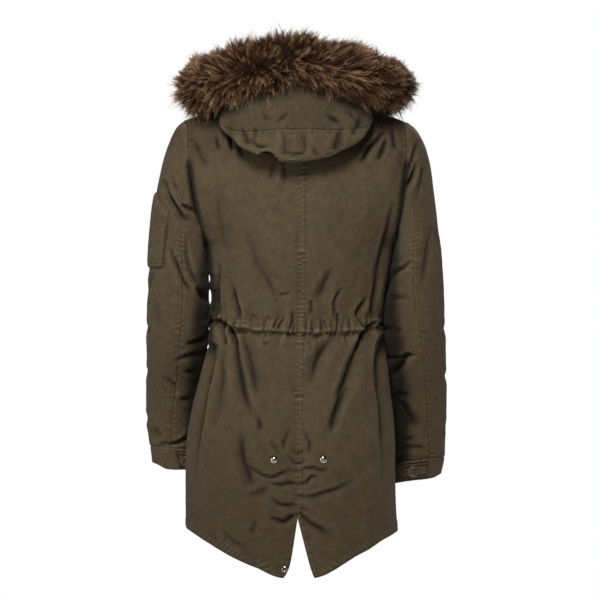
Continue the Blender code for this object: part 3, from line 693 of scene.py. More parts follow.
@dataclass(frozen=True)
class WashedTwill:
    """Garment-washed cotton twill, piece-dyed olive: matt and napped, paler where seams rub, with painted
    highlight on ridges and painted shade in creases and hollows.
    """
    ground: str = "#4C4234"
    warm: str = "#4D4233"
    green: str = "#4A4334"
    # worn seam edges, and painted highlight on ridges and crests
    pale: str = "#73674E"
    # painted shade in creases, hollows, stitched grooves and close layers
    deep: str = "#120C07"
    rib_mm: float = 2.4  # real ribs are 0.6 mm and would not show
    slub_mm: Pair = (1.6, 22.0)  # uneven yarns run down the cloth

    def build(self) -> Material:
        """Makes the material.

        Returns:
            The material.
        """
        made, tree, shader = new_finish("washed_cotton_twill", {
            "Roughness": 0.85, "Sheen Weight": 0.04, "Sheen Roughness": 0.5, "Specular IOR Level": 0.14})
        chart = add_node(tree, "TexCoord").outputs["UV"]
        body = add_node(tree, "TexCoord").outputs["Object"]
        clouds = []
        for scale, detail, rough, bend in ((13.0, 5.0, 0.6, 0.0), (60.0, 5.0, 0.7, 0.0),
                                           (120.0, 6.0, 0.62, 0.8)):
            settings = {"Scale": scale, "Detail": detail, "Roughness": rough, "Distortion": bend}
            clouds.append(add_node(tree, "TexNoise", settings, {"Vector": body}).outputs["Fac"])
        cloud, patch, crumple = clouds
        yarns = add_node(tree, "Mapping", {"Scale": (*(1 / (size * MM) for size in self.slub_mm), 1.0)},
                         {"Vector": chart})
        slub = add_node(tree, "TexNoise", {"Scale": 1.0, "Detail": 2.0, "Roughness": 0.6},
                        {"Vector": yarns.outputs["Vector"]}).outputs["Fac"]
        rib = add_node(tree, "TexWave", {"bands_direction": "DIAGONAL", "Distortion": 1.2, "Detail": 2.0,
                                         "Scale": 2 * pi / (10 * 1.414 * self.rib_mm * MM)},
                       {"Vector": chart}).outputs["Fac"]
        # seam wear with painted highlight and shade, and painted shade
        painted_light_and_wear, painted_shade_share = (add_node(tree, "Attribute", {"attribute_name": name}).outputs["Fac"]
                        for name in ("wear", "gloom"))
        stops = ((0.36, self.green), (0.50, self.ground), (0.66, self.warm))
        tone = add_node(tree, "ValToRGB", {"stops": stops}, {"Fac": cloud}).outputs["Color"]
        for source, low, high in ((patch, 0.86, 1.13), (slub, 0.88, 1.12)):
            settings = {"From Min": 0.35, "From Max": 0.65, "To Min": low, "To Max": high}
            share = add_node(tree, "MapRange", settings, {"Value": source}).outputs["Result"]
            tone = add_node(tree, "Mix", {"data_type": "RGBA", "blend_type": "MULTIPLY", 0: 1.0},
                            {6: tone, 7: share}).outputs[2]
        # pale for wear and painted highlight, deep for painted shade
        for source, start, end, most, colour in ((painted_light_and_wear, 0.05, 1.0, 0.60, self.pale),
                                                 (painted_light_and_wear, -0.05, -1.0, 0.72, self.deep),
                                                 (painted_shade_share, 0.02, 0.95, 0.92, self.deep)):
            settings = {"From Min": start, "From Max": end, "To Max": most}
            share = add_node(tree, "MapRange", settings, {"Value": source}).outputs["Result"]
            over = {"data_type": "RGBA", 7: linear(colour)}
            tone = add_node(tree, "Mix", over, {0: share, 6: tone}).outputs[2]
        tree.links.new(tone, shader.inputs["Base Color"])
        below = {}
        for height, strength, rise_mm in ((rib, 0.4, 0.4), (slub, 0.6, 0.8), (crumple, 1.0, 4.0)):
            bump = add_node(tree, "Bump", {"Strength": strength, "Distance": rise_mm * MM},
                            {"Height": height, **below}).outputs["Normal"]
            below = {"Normal": bump}
        tree.links.new(bump, shader.inputs["Normal"])
        return made


@dataclass(frozen=True)
class LongPileFur:
    """Modacrylic long-pile fur: near black at the root, chestnut along its length, straw tips."""
    root: str = "#120905"
    shaft: str = "#352012"
    bright: str = "#795A41"
    tip: str = "#DCC4A2"
    dark_tip: str = "#1C0F08"

    def build(self) -> Material:
        """Makes the material.

        Returns:
            The material.
        """
        made, tree, shader = new_finish("long_pile_fur", {"Roughness": 0.48, "Specular IOR Level": 0.10})
        along, kind = (add_node(tree, "Attribute", {"attribute_name": name}).outputs["Fac"]
                       for name in ("along", "kind"))
        pale = ((0.0, self.root), (0.44, self.shaft), (0.70, self.bright), (0.82, self.bright),
                (0.95, self.tip))
        dark = ((0.0, self.root), (0.50, self.shaft), (0.85, self.shaft), (1.0, self.dark_tip))
        pale, dark = (add_node(tree, "ValToRGB", {"stops": stops}, {"Fac": along}).outputs["Color"]
                      for stops in (pale, dark))
        mixed = add_node(tree, "Mix", {"data_type": "RGBA"}, {0: kind, 6: dark, 7: pale})
        tree.links.new(mixed.outputs[2], shader.inputs["Base Color"])
        return made


@dataclass(frozen=True)
class CloudedFinish:
    """A finish that drifts softly between a dull tone and a clear one."""
    name: str
    dull: str
    clear: str
    stops: Pair  # where in the cloud each tone is full
    scale: float  # clouds in a metre
    detail: float
    roughness: tuple[float, ...]  # one value, or the two that it drifts between
    metallic: float = 0.0

    def build(self) -> Material:
        """Makes the material.

        Returns:
            The material.
        """
        settings = {"Metallic": self.metallic, "Roughness": self.roughness[0]}
        made, tree, shader = new_finish(self.name, settings)
        body = add_node(tree, "TexCoord").outputs["Object"]
        cloud = add_node(tree, "TexNoise", {"Scale": self.scale, "Detail": self.detail},
                         {"Vector": body}).outputs["Fac"]
        tone = add_node(tree, "ValToRGB", {"stops": tuple(zip(self.stops, (self.dull, self.clear)))},
                        {"Fac": cloud}).outputs["Color"]
        tree.links.new(tone, shader.inputs["Base Color"])
        if len(self.roughness) > 1:
            gloss = add_node(tree, "MapRange", {"To Min": self.roughness[0], "To Max": self.roughness[1]},
                             {"Value": cloud}).outputs["Result"]
            tree.links.new(gloss, shader.inputs["Roughness"])
        return made


@dataclass(frozen=True)
class CoreSpunThread(CloudedFinish):
    """Polyester-cotton sewing thread, dyed to match: a little glossier and paler than the cloth."""
    name: str = "core_spun_thread"
    dull: str = "#514731"
    clear: str = "#655A40"
    stops: Pair = (0.35, 0.65)
    scale: float = 90.0
    detail: float = 2.0
    roughness: tuple[float, ...] = (0.6,)


@dataclass(frozen=True)
class PlatedBrass(CloudedFinish):
    """Nickel-plated brass press studs, polished by tumbling: bright, with fine scuffs."""
    name: str = "nickel_plated_brass"
    dull: str = "#7E7A73"
    clear: str = "#A9A59E"
    stops: Pair = (0.3, 0.6)
    scale: float = 900.0
    detail: float = 4.0
    roughness: tuple[float, ...] = (0.08, 0.18)
    metallic: float = 1.0


@dataclass(frozen=True)
class CastResin(CloudedFinish):
    """Cast polyester button resin dyed to the cloth: satin, faintly clouded."""
    name: str = "cast_resin"
    dull: str = "#382F23"
    clear: str = "#4C4433"
    stops: Pair = (0.35, 0.65)
    scale: float = 160.0
    detail: float = 3.0
    roughness: tuple[float, ...] = (0.36,)


# ---- the body's form
class BodyRow(NamedTuple):
    """One level of the body: heights, side edges, and depths to the back and front."""
    z_mid: float  # height at the centre
    z_side: float  # height at the side edge
    left: float  # side edge on the wearer's left
    right: float  # side edge on the wearer's right, as a positive number
    seam: float  # x of the centre seam
    depth: float  # y at the centre
    edge_y: float  # y at the side edge, above 0 only round the armhole


BODY_LEVELS = (
    # side edge: z and x to the left and right; back: z and x of its seam, depth and y at the side;
    # front: z at its middle, how much further in its edges lie, depth and y at the side
    ((-0.092, 0.2075, 0.2085), (-0.085, -0.008, 0.1, 0.06), (-0.135, 0, 0.126, 0.045)),
    ((-0.138, 0.204, 0.206), (-0.135, -0.009, 0.111, 0.076), (-0.165, 0.001, 0.132, 0.066)),
    ((-0.187, 0.1965, 0.2), (-0.185, -0.009, 0.117, 0.075), (-0.2, 0.0015, 0.137, 0.068)),
    ((-0.231, 0.183, 0.192), (-0.23, -0.009, 0.119, 0.056), (-0.236, 0, 0.14, 0.052)),
    ((-0.263, 0.173, 0.186), (-0.262, -0.009, 0.119, 0.03), (-0.264, 0, 0.14, 0.028)),
    ((-0.287, 0.168, 0.1815), (-0.287, -0.009, 0.118, 0), (-0.287, 0, 0.139, 0)),
    ((-0.3325, 0.1625, 0.174), (-0.3325, -0.009, 0.113, 0), (-0.3325, 0, 0.136, 0)),
    ((-0.374, 0.159, 0.165), (-0.374, -0.009, 0.106, 0), (-0.374, 0, 0.13, 0)),
    ((-0.413, 0.157, 0.158), (-0.413, -0.009, 0.101, 0), (-0.413, 0, 0.124, 0)),
    ((-0.442, 0.157, 0.157), (-0.442, -0.007, 0.101, 0), (-0.442, 0, 0.123, 0)),
    ((-0.48, 0.167, 0.1635), (-0.48, -0.005, 0.108, 0), (-0.48, 0, 0.128, 0)),
    ((-0.53, 0.1865, 0.173), (-0.53, -0.004, 0.12, 0), (-0.53, 0, 0.135, 0)),
    ((-0.59, 0.201, 0.181), (-0.59, -0.003, 0.131, 0), (-0.59, 0, 0.141, 0)),
    ((-0.65, 0.2095, 0.1845), (-0.655, -0.003, 0.138, 0), (-0.645, 0, 0.145, 0)),
    ((-0.705, 0.211, 0.1855), (-0.725, -0.0025, 0.142, 0), (-0.69, 0, 0.148, 0)),
    ((-0.755, 0.211, 0.1875), (-0.793, -0.0013, 0.144, 0), (-0.73, 0, 0.149, 0)),
    ((-0.785, 0.2105, 0.19), (-0.85, -0.0013, 0.143, 0), (-0.755, 0, 0.149, 0)),
    ((-0.811, 0.2098, 0.1919), (-0.905, -0.0013, 0.141, 0), (-0.775, 0, 0.149, 0)),
)
BACK_ROWS = tuple(BodyRow(back[0], *edge, *back[1:]) for edge, back, _ in BODY_LEVELS)
FRONT_ROWS = tuple(BodyRow(front[0], z, left - front[1], right - front[1], 0.0, *front[2:])
                   for (z, left, right), _, front in BODY_LEVELS)


@dataclass
class BodyForm:
    """The body as the wearer fills it, without its creases."""
    neck_half_width: float = 0.082
    neck_back: float = 0.080
    neck_front: float = 0.105
    neck_drop_back: float = 0.020
    neck_drop_front: float = 0.060
    shoulder_angle: float = 68.0
    back_neck_share: float = 0.36
    front_neck_share: float = 0.42
    shoulder_seam: tuple = ((0.120, 0.062, -0.046), (0.207, 0.038, -0.0500))
    front_ridge: tuple = ((0.0, -0.110, -0.075), (0.075, -0.110, -0.050),
                          (0.110, 0.032, 0.010), (0.2140, 0.018, -0.0455))
    collarbone: tuple = ((0.0, -0.118, -0.100), (0.085, -0.135, -0.090),
                         (0.120, -0.020, -0.012), (0.2145, -0.008, -0.0470))
    underarm_row: int = 6
    vent_spread: dict = field(default_factory=lambda: {LEFT: (0.0172, 0.0100), RIGHT: (0.0285, 0.0030)})
    front_edge: float = 0.010

    def neck_ring(self, angle: Array) -> Array:
        """Points of the neckline.

        Args:
            angle: Angles from the centre back, positive to the wearer's left.

        Returns:
            One point for each angle.
        """
        behind = np.cos(angle) > 0
        depth = np.where(behind, self.neck_back, self.neck_front)
        drop = np.where(behind, self.neck_drop_back, self.neck_drop_front)
        return np.stack((self.neck_half_width * np.sin(angle), depth * np.cos(angle),
                         -drop * np.cos(angle) ** 2), axis=-1)

    def top_edge(self, u: Array, start_angle: float, share: float) -> Array:
        """Neckline to the shoulder seam's inner end, then the seam out to the armhole.

        Args:
            u: Shares of the way from the centre to the side.
            start_angle: Where on the neckline it starts, in degrees from the centre back.
            share: How much of the way the neckline takes.

        Returns:
            One point for each share, on the wearer's left.
        """
        end, start = radians(self.shoulder_angle), radians(start_angle)
        angle = start + (end - start) * np.clip(u / share, 0, 1)
        corner = self.neck_ring(np.array(end))
        seam = bezier((corner, *self.shoulder_seam), np.clip((u - share) / (1 - share), 0, 1))
        return np.where((u < share)[..., None], self.neck_ring(angle), seam)

    def level(self, row: BodyRow, u: Array, side: float, facing: float) -> Array:
        """Points across half a level, from the centre seam to the side edge.

        Args:
            row: The level.
            u: Shares of the way across.
            side: LEFT or RIGHT.
            facing: BACK or FRONT.

        Returns:
            One point for each share.
        """
        edge = row.left if side > 0 else row.right
        reach = np.arccos(min(row.edge_y / row.depth, 1.0))
        span = edge - side * row.seam
        x = side * row.seam + span * np.sin(u * reach) / sin(reach)
        bow = 1.15 + 0.40 * smooth(-0.755, -0.811, np.array(row.z_side))
        z = row.z_mid + (row.z_side - row.z_mid) * np.clip(x / edge, 0, 1) ** bow
        return np.stack((side * x, facing * row.depth * np.cos(u * reach), z), axis=-1)

    def rows(self, facing: float) -> int:
        """Number of the last row of a back or front."""
        return len(BACK_ROWS) if facing > 0 else len(FRONT_ROWS) + 2

    def underarm(self, facing: float) -> float:
        """Row at which the armhole closes."""
        return self.underarm_row + (0.0 if facing > 0 else 2.0)

    def points(self, u: Array, place: Array, side: float, facing: float) -> Array:
        """Outer points of half a back or front.

        Args:
            u: Shares of the way from the centre to the side.
            place: Rows down the panel, as numbers that may lie between two rows.
            side: LEFT or RIGHT.
            facing: BACK or FRONT.

        Returns:
            Points, columns by rows by three.
        """
        if facing > 0:
            top, rows = [self.top_edge(u, 0.0, self.back_neck_share)], BACK_ROWS
        else:
            top = [self.top_edge(u, 180.0, self.front_neck_share),
                   bezier(self.front_ridge, u), bezier(self.collarbone, u)]
            rows = FRONT_ROWS
        for line in top:
            line[..., 0] *= side
        net = np.stack(top + [self.level(row, u, side, facing) for row in rows])
        grid = np.swapaxes(blend_rows(net, place), 0, 1)
        below_arm = place >= self.underarm(facing)
        grid[:, below_arm, 1] = facing * np.maximum(facing * grid[:, below_arm, 1], 0)
        if facing > 0:
            below = np.clip((VENT_TOP - grid[..., 2]) / (VENT_TOP - BACK_ROWS[-1].z_mid), 0, 1)
            even, corner = self.vent_spread[side]
            grid[..., 0] += side * (even * below + corner * below**9) * (1 - u[:, None]) ** 2
        else:
            grid[..., 0] += side * self.front_edge * (1 - u[:, None]) ** 3
        return grid

    def place_at(self, z: Array, facing: float) -> Array:
        """Rows whose side edge lies at given heights, below the underarm.

        Args:
            z: The heights.
            facing: BACK or FRONT.

        Returns:
            Row places.
        """
        rows = BACK_ROWS if facing > 0 else FRONT_ROWS
        offset = self.rows(facing) - len(rows) + 1
        return offset + np.interp(-z, [-row.z_side for row in rows], range(len(rows)))

    def even_places(self, side: float, facing: float, step: float) -> Array:
        """Places down a panel, closer beside its edges and where a back is gathered or rucked.

        Args:
            side: LEFT or RIGHT.
            facing: BACK or FRONT.
            step: Their spacing elsewhere, in metres.

        Returns:
            Row places, in order.
        """
        dense = np.linspace(0, self.rows(facing), 500)
        line = self.points(np.array([0.5]), dense, side, facing)
        height = line[0, 1:, 2]
        closer = 1 + 0.9 * mound(height, WAIST_Z, 0.042) + 0.4 * mound(height, -0.745, 0.045)
        length = np.concatenate(([0], np.cumsum(np.diff(run(line, 1)[0]) * (closer if facing > 0 else 1.0))))
        return np.interp(graded(length[-1], step) * length[-1], length, dense)

    def armhole(self, share: Array, side: float) -> Array:
        """Armhole from the underarm, up the back, over the shoulder and down the front.

        Args:
            share: Ways round it.
            side: LEFT or RIGHT.

        Returns:
            One point for each way.
        """
        edge = np.array([1.0])
        climb = self.points(edge, self.underarm(BACK) * (1 - np.linspace(0, 1, 60)), side, BACK)[0]
        descent = self.points(edge, self.underarm(FRONT) * np.linspace(0, 1, 60), side, FRONT)[0]
        ring = np.concatenate((climb, descent[1:]))
        length = run(ring[None], 1)[0]
        return read_line(ring, length, (share % 1.0) * length[-1])


BODY_CREASES = folds(Seen.BACK, (
    # swags that fall from the drawn waist
    ("135,-422 124,-452 116,-490 106,-532 97,-570 82,-612", 8, 9, 0.8, 0.2),
    ("112,-441 89,-498 78,-574", 14, 6, 0.6),
    ("76,-598 68,-627", 4, 4),
    ("148,-418 142,-445 141,-469", 4, 7, 0.8),
    ("141,-460 144,-536 158,-638", 9, 4, 0.7),
    ("158,-467 165,-505 175,-551 184,-600 192,-656 196,-760", 6, 9, 0.6),
    ("108,-623 101,-688 78,-741", 14, 6),
    ("-135,-431 -120,-460 -104,-498 -91,-536 -74,-583 -40,-669", 9.5, 8.5, 0.9, -0.2),
    ("-97,-547 -74,-593 -63,-635", 6, 5, 0.4),
    ("-72,-452 -48,-471 -34,-505 -21,-555", 11, 7, 0.4),
    ("-158,-456 -156,-504 -162,-570 -165,-646 -158,-783", 8, 8, 0.6),
    ("-152,-443 -144,-475 -139,-521", 4, -2.5, 0.6),
    # rucks across the seat and above the vent
    ("93,-692 70,-705 48,-712 25,-703 -4,-699", 3.5, 4.7, 0.3),
    ("-11,-697 -30,-695 -46,-699 -65,-694", 3.5, 4.7, 0.5),
    ("59,-720 32,-726 10,-724 -6,-730", 4, 3.9, 0.3),
    ("-4,-726 -19,-720 -28,-712 -48,-712", 4, 3.9, 0.6),
    ("-4,-749 -32,-749 -55,-741 -89,-730 -120,-712", 5, 3.9, 0.6),
    ("93,-747 70,-741 48,-726", 8, 3.1),
    ("51,-750 32,-764 13,-766 -2,-764", 4.5, 3.9, 0.3),
    ("48,-790 25,-796 13,-788 -2,-781", 4.5, 5.5, 0.5),
    ("-6,-781 -21,-796 -44,-809 -74,-830", 6, 4.7, 0.8),
    ("-2,-770 -13,-773 -25,-783", 3, 3.1, 0.6),
    ("142,-815 116,-836 86,-851", 5, 2.3, 0.4),
    ("78,-790 89,-825", 8, 2.3),
    ("48,-646 32,-673", 3.5, 3.1, 0.5),
    ("13,-623 25,-646 30,-673", 4, 3.1, 0.4),
    ("-15,-627 -25,-650 -21,-676", 4, 3.1, 0.4),
    ("11,-657 -2,-669 -17,-657", 3, 2.3, 0.5),
    ("13,-676 -2,-688 -19,-676", 3, 2.3, 0.5),
    # below the hood and at the shoulders
    ("32,-125 38,-167", 6, -3, 0.8),
    ("46,-122 51,-152", 4, 2, 0.8),
    ("25,-124 23,-152", 4, 1.6, 0.8),
    ("152,-72 148,-97", 4, 4, 0.5),
    ("127,-68 125,-99", 3.5, 7, 0.6),
    ("110,-87 101,-114", 4, 3, 0.6),
    ("198,-76 184,-103 167,-141", 8, 4, 0.4),
    ("-162,-63 -144,-82 -131,-101 -120,-125", 4.5, 8, 0.4),
    ("-167,-74 -162,-95 -152,-120", 4, 6, 0.4),
    ("-180,-55 -184,-80 -190,-99", 4.5, 4, 0.5),
    ("-203,-95 -192,-137 -184,-182", 9, 3, 0.4),
    ("150,-176 146,-236 138,-312", 13, 4, 0.3),
    ("-182,-201 -173,-247 -163,-289 -154,-342 -146,-403", 6, 6, 0.3),
    # pulled up from the waist, and the sharp pleats across its cord
    ("125,-346 120,-380 114,-405 112,-424", 6, 8, 0.2),
    ("150,-319 152,-361 150,-395 146,-416", 4, 6, 0.3),
    ("93,-262 80,-308 59,-342 38,-376", 15, 4.5, 0.4),
    ("66,-323 51,-355 40,-380 27,-405", 4, 2, 0.3),
    ("40,-367 25,-369 10,-363", 3, 3, 0.5),
    ("-66,-323 -55,-346 -44,-367 -30,-386", 8.5, 5, 0.3),
    ("-27,-384 -27,-410", 4, 4, 0.9),
    ("-84,-359 -72,-378 -72,-401 -76,-422", 3.5, 4.5, 0.3),
    ("-133,-378 -120,-395 -112,-418", 5, 6, 0.3),
    ("-156,-334 -150,-365 -146,-391 -148,-416", 4.5, 8, 0.5),
    ("38,-416 44,-431 49,-450", 1.9, 4, 0.8),
    ("23,-412 34,-428 40,-441", 1.9, 3, 0.8),
    ("8,-401 11,-422 15,-439 21,-467", 2, 5, 0.8),
    ("-46,-412 -44,-441", 1.7, 3, 0.8),
    ("-53,-420 -59,-450", 1.8, 4, 0.8),
    ("-78,-407 -76,-431 -72,-450", 2, 5, 0.9),
    ("-80,-416 -86,-441", 1.8, 3.5, 0.9),
    ("-116,-414 -124,-428 -133,-437", 2.4, 5, 0.9),
    ("-146,-422 -133,-435 -122,-450 -112,-471", 3, 6, 0.9),
    ("139,-422 129,-439 114,-469", 3.4, 6, 0.9),
    ("148,-418 142,-441 137,-469", 3, 5, 0.8),
    ("89,-420 82,-408 74,-420", 2.6, 2.5, 0.5),
    ("63,-426 55,-412 48,-422", 2.6, 2.5, 0.5),
    ("-17,-454 -28,-466 -21,-479", 3, 2.5, 0.5),
    ("66,-454 59,-462 48,-452", 2.6, 2.5, 0.5),
    ("-91,-443 -95,-462", 2.6, 2.5, 0.6),
    ("0,-239 -4,-399", 16, 3, 0.2),
)) + folds(Seen.FRONT, (
    # the fronts hang as the back does
    ("-128,-438 -114,-492 -94,-572", 11, 8, 0.9, -0.2),
    ("124,-440 110,-500 82,-590", 12, 8, 0.9, 0.2),
    ("152,-490 163,-560 168,-650", 13, 5, 0.3),
    ("-158,-486 -164,-600", 12, 6, 0.3),
    ("66,-455 44,-520", 12, 4, 0.6),
    ("-60,-452 -52,-530", 10, 4, 0.6),
    ("150,-100 112,-170", 9, 5, 0.5),
    ("-152,-96 -118,-158", 8, 5, 0.5),
    ("163,-190 128,-262", 9, 4, 0.6),
    ("-166,-196 -136,-250", 8, 4, 0.6),
    ("92,-418 98,-360", 9, 4, 0.8),
    ("-86,-420 -98,-350", 9, 4, 0.8),
    ("-45,-690 -92,-704", 6, 3, 0.4),
    ("50,-712 104,-698", 6, 3, 0.4),
))


WAIST_RADIUS = 0.14  # turns an angle round the body to a length
WAIST_PINCHES = read_table(  # tucks under the cord: x and depth in mm
    "143,2.2 118,3 103,1.6 86,2.2 62,1.8 41,1.6 24,1.4 8,2.6 -18,1.6 -30,1.8 -50,3 -79,3.4 -98,1.6 -122,2.6 "
    "-134,1.8")
WAIST_RIDGE = read_table(  # the drawn cord's line across the back: x and z in mm
    "-158,-414 -144,-423.7 -127,-434.5 -106,-434.5 -82,-437 -53,-437 -30,-442 -13,-439 8,-439 27,-437 "
    "47,-437 76,-436 96,-430 116,-429.5 146,-415.5 158,-411")
HEM_SHIFT = read_table(  # the hem's small rises and falls behind: x and shift in mm
    "-200,-4 -186,-5 -160,0 -135,2 -112,5 -88,5 -55,2 0,0 45,2 72,5 95,3 130,1 180,-1 205,0")
SIDE_FILL = {  # how far body and sleeve swell under the arm: z and both in mm
    LEFT: read_table(
        "-530,0,0 -490,4,1 -475,6,3 -469,4,2 -463,8,4 -443,10,6 -426,10,5 -419,5,1.5 -411,5,1.5 -406,9,3.5 "
        "-388,9,3.5 -383,5.5,2 -370,5,1.5 -362,5.5,2 -358,8,4 -348,8,4 -344,5,2 -334,4.5,1.5 -328,7,4 "
        "-300,5,4 -260,3.5,3.5 -210,2,2 -170,0,0"),
    RIGHT: read_table(
        "-560,1,0 -530,4,3 -510,6,5 -480,7,7 -442,9,10 -413,8,10 -374,6,5 -333,4,4 -284,3.5,3.5 "
        "-236,2.5,2.5 -200,2,2 -170,0,0"),
}
ARM_SINK = 2.6  # how far the armhole's seam is drawn in, in mm
ARM_RISE, ARM_FALL = (-0.098, -0.135), (-0.18, -0.22)  # heights over which that sets in and ends


def armhole_sink(away: Array, height: Array) -> Array:
    """How far the cloth lies in beside the armhole's seam, in metres."""
    return ARM_SINK * MM * mound(away, 0, 6 * MM) * band(height, ARM_RISE, ARM_FALL)


def side_fill(z: Array, side: float, column: int) -> Array:
    """How far the body, column 1, or the sleeve, column 2, swells under the arm, in metres."""
    table = np.array(SIDE_FILL[side], float) * MM
    return np.interp(z, table[:, 0], table[:, column])


def ridge_height(points: Array) -> Array:
    """Height of the drawn cord's line, mirrored to the front.

    Args:
        points: Points of the body.

    Returns:
        The line's height at each of them.
    """
    table = np.array(WAIST_RIDGE, float) * MM
    facing = np.where(points[..., 1] > 0, 1.0, -1.0)
    return np.interp(points[..., 0] * facing, table[:, 0], table[:, 1])


def way_round(points: Array) -> Array:
    """Length round the waist from the centre back, in metres."""
    return np.arctan2(points[..., 0], points[..., 1]) * WAIST_RADIUS


def pinches(points: Array) -> Array:
    """Sharp tucks that the drawstring draws up across the back, and similar ones in front.

    Args:
        points: Points of the body.

    Returns:
        Their depth at each of them, in mm.
    """
    depth = np.zeros(points.shape[:-1])
    for facing in (BACK, FRONT):
        near = points[..., 1] * facing > 0
        for x, deep in WAIST_PINCHES:
            depth += deep / 2 * mound(points[..., 0], facing * x * MM, 2.3 * MM) * near
    return depth


def waist_gathers(points: Array) -> Array:
    """Uneven upright puckers that the drawstring draws up.

    Args:
        points: Points of the body.

    Returns:
        Their height at each of them, in metres.
    """
    around, rise = way_round(points), points[..., 2] - ridge_height(points) - 4 * MM
    fine = wander(around + 0.20 * rise, 0.0068, 41) + 0.5 * wander(around - 0.1 * rise, 0.0036, 43)
    slow = wander(around + 0.1 * rise, 0.021, 42)
    tucks = (0.6 + 0.9 * (points[..., 1] < 0)) * pinches(points)
    away = np.abs(rise)
    return MM * ((4.2 * fine - tucks) * np.exp(-away / 0.017) + 4.0 * slow * np.exp(-away / 0.040))


def waist_shadow(points: Array) -> Array:
    """The scalloped groove under the drawn cord.

    Args:
        points: Points of the body.

    Returns:
        Its height at each of them, in metres, below 0.
    """
    around = way_round(points)
    below = ridge_height(points) - points[..., 2] - 9.5 * MM + 2.5 * MM * wander(around, 0.013, 45)
    return -MM * (3.6 + 1.6 * wander(around, 0.010, 46)) * mound(below, 0, 5.5 * MM)


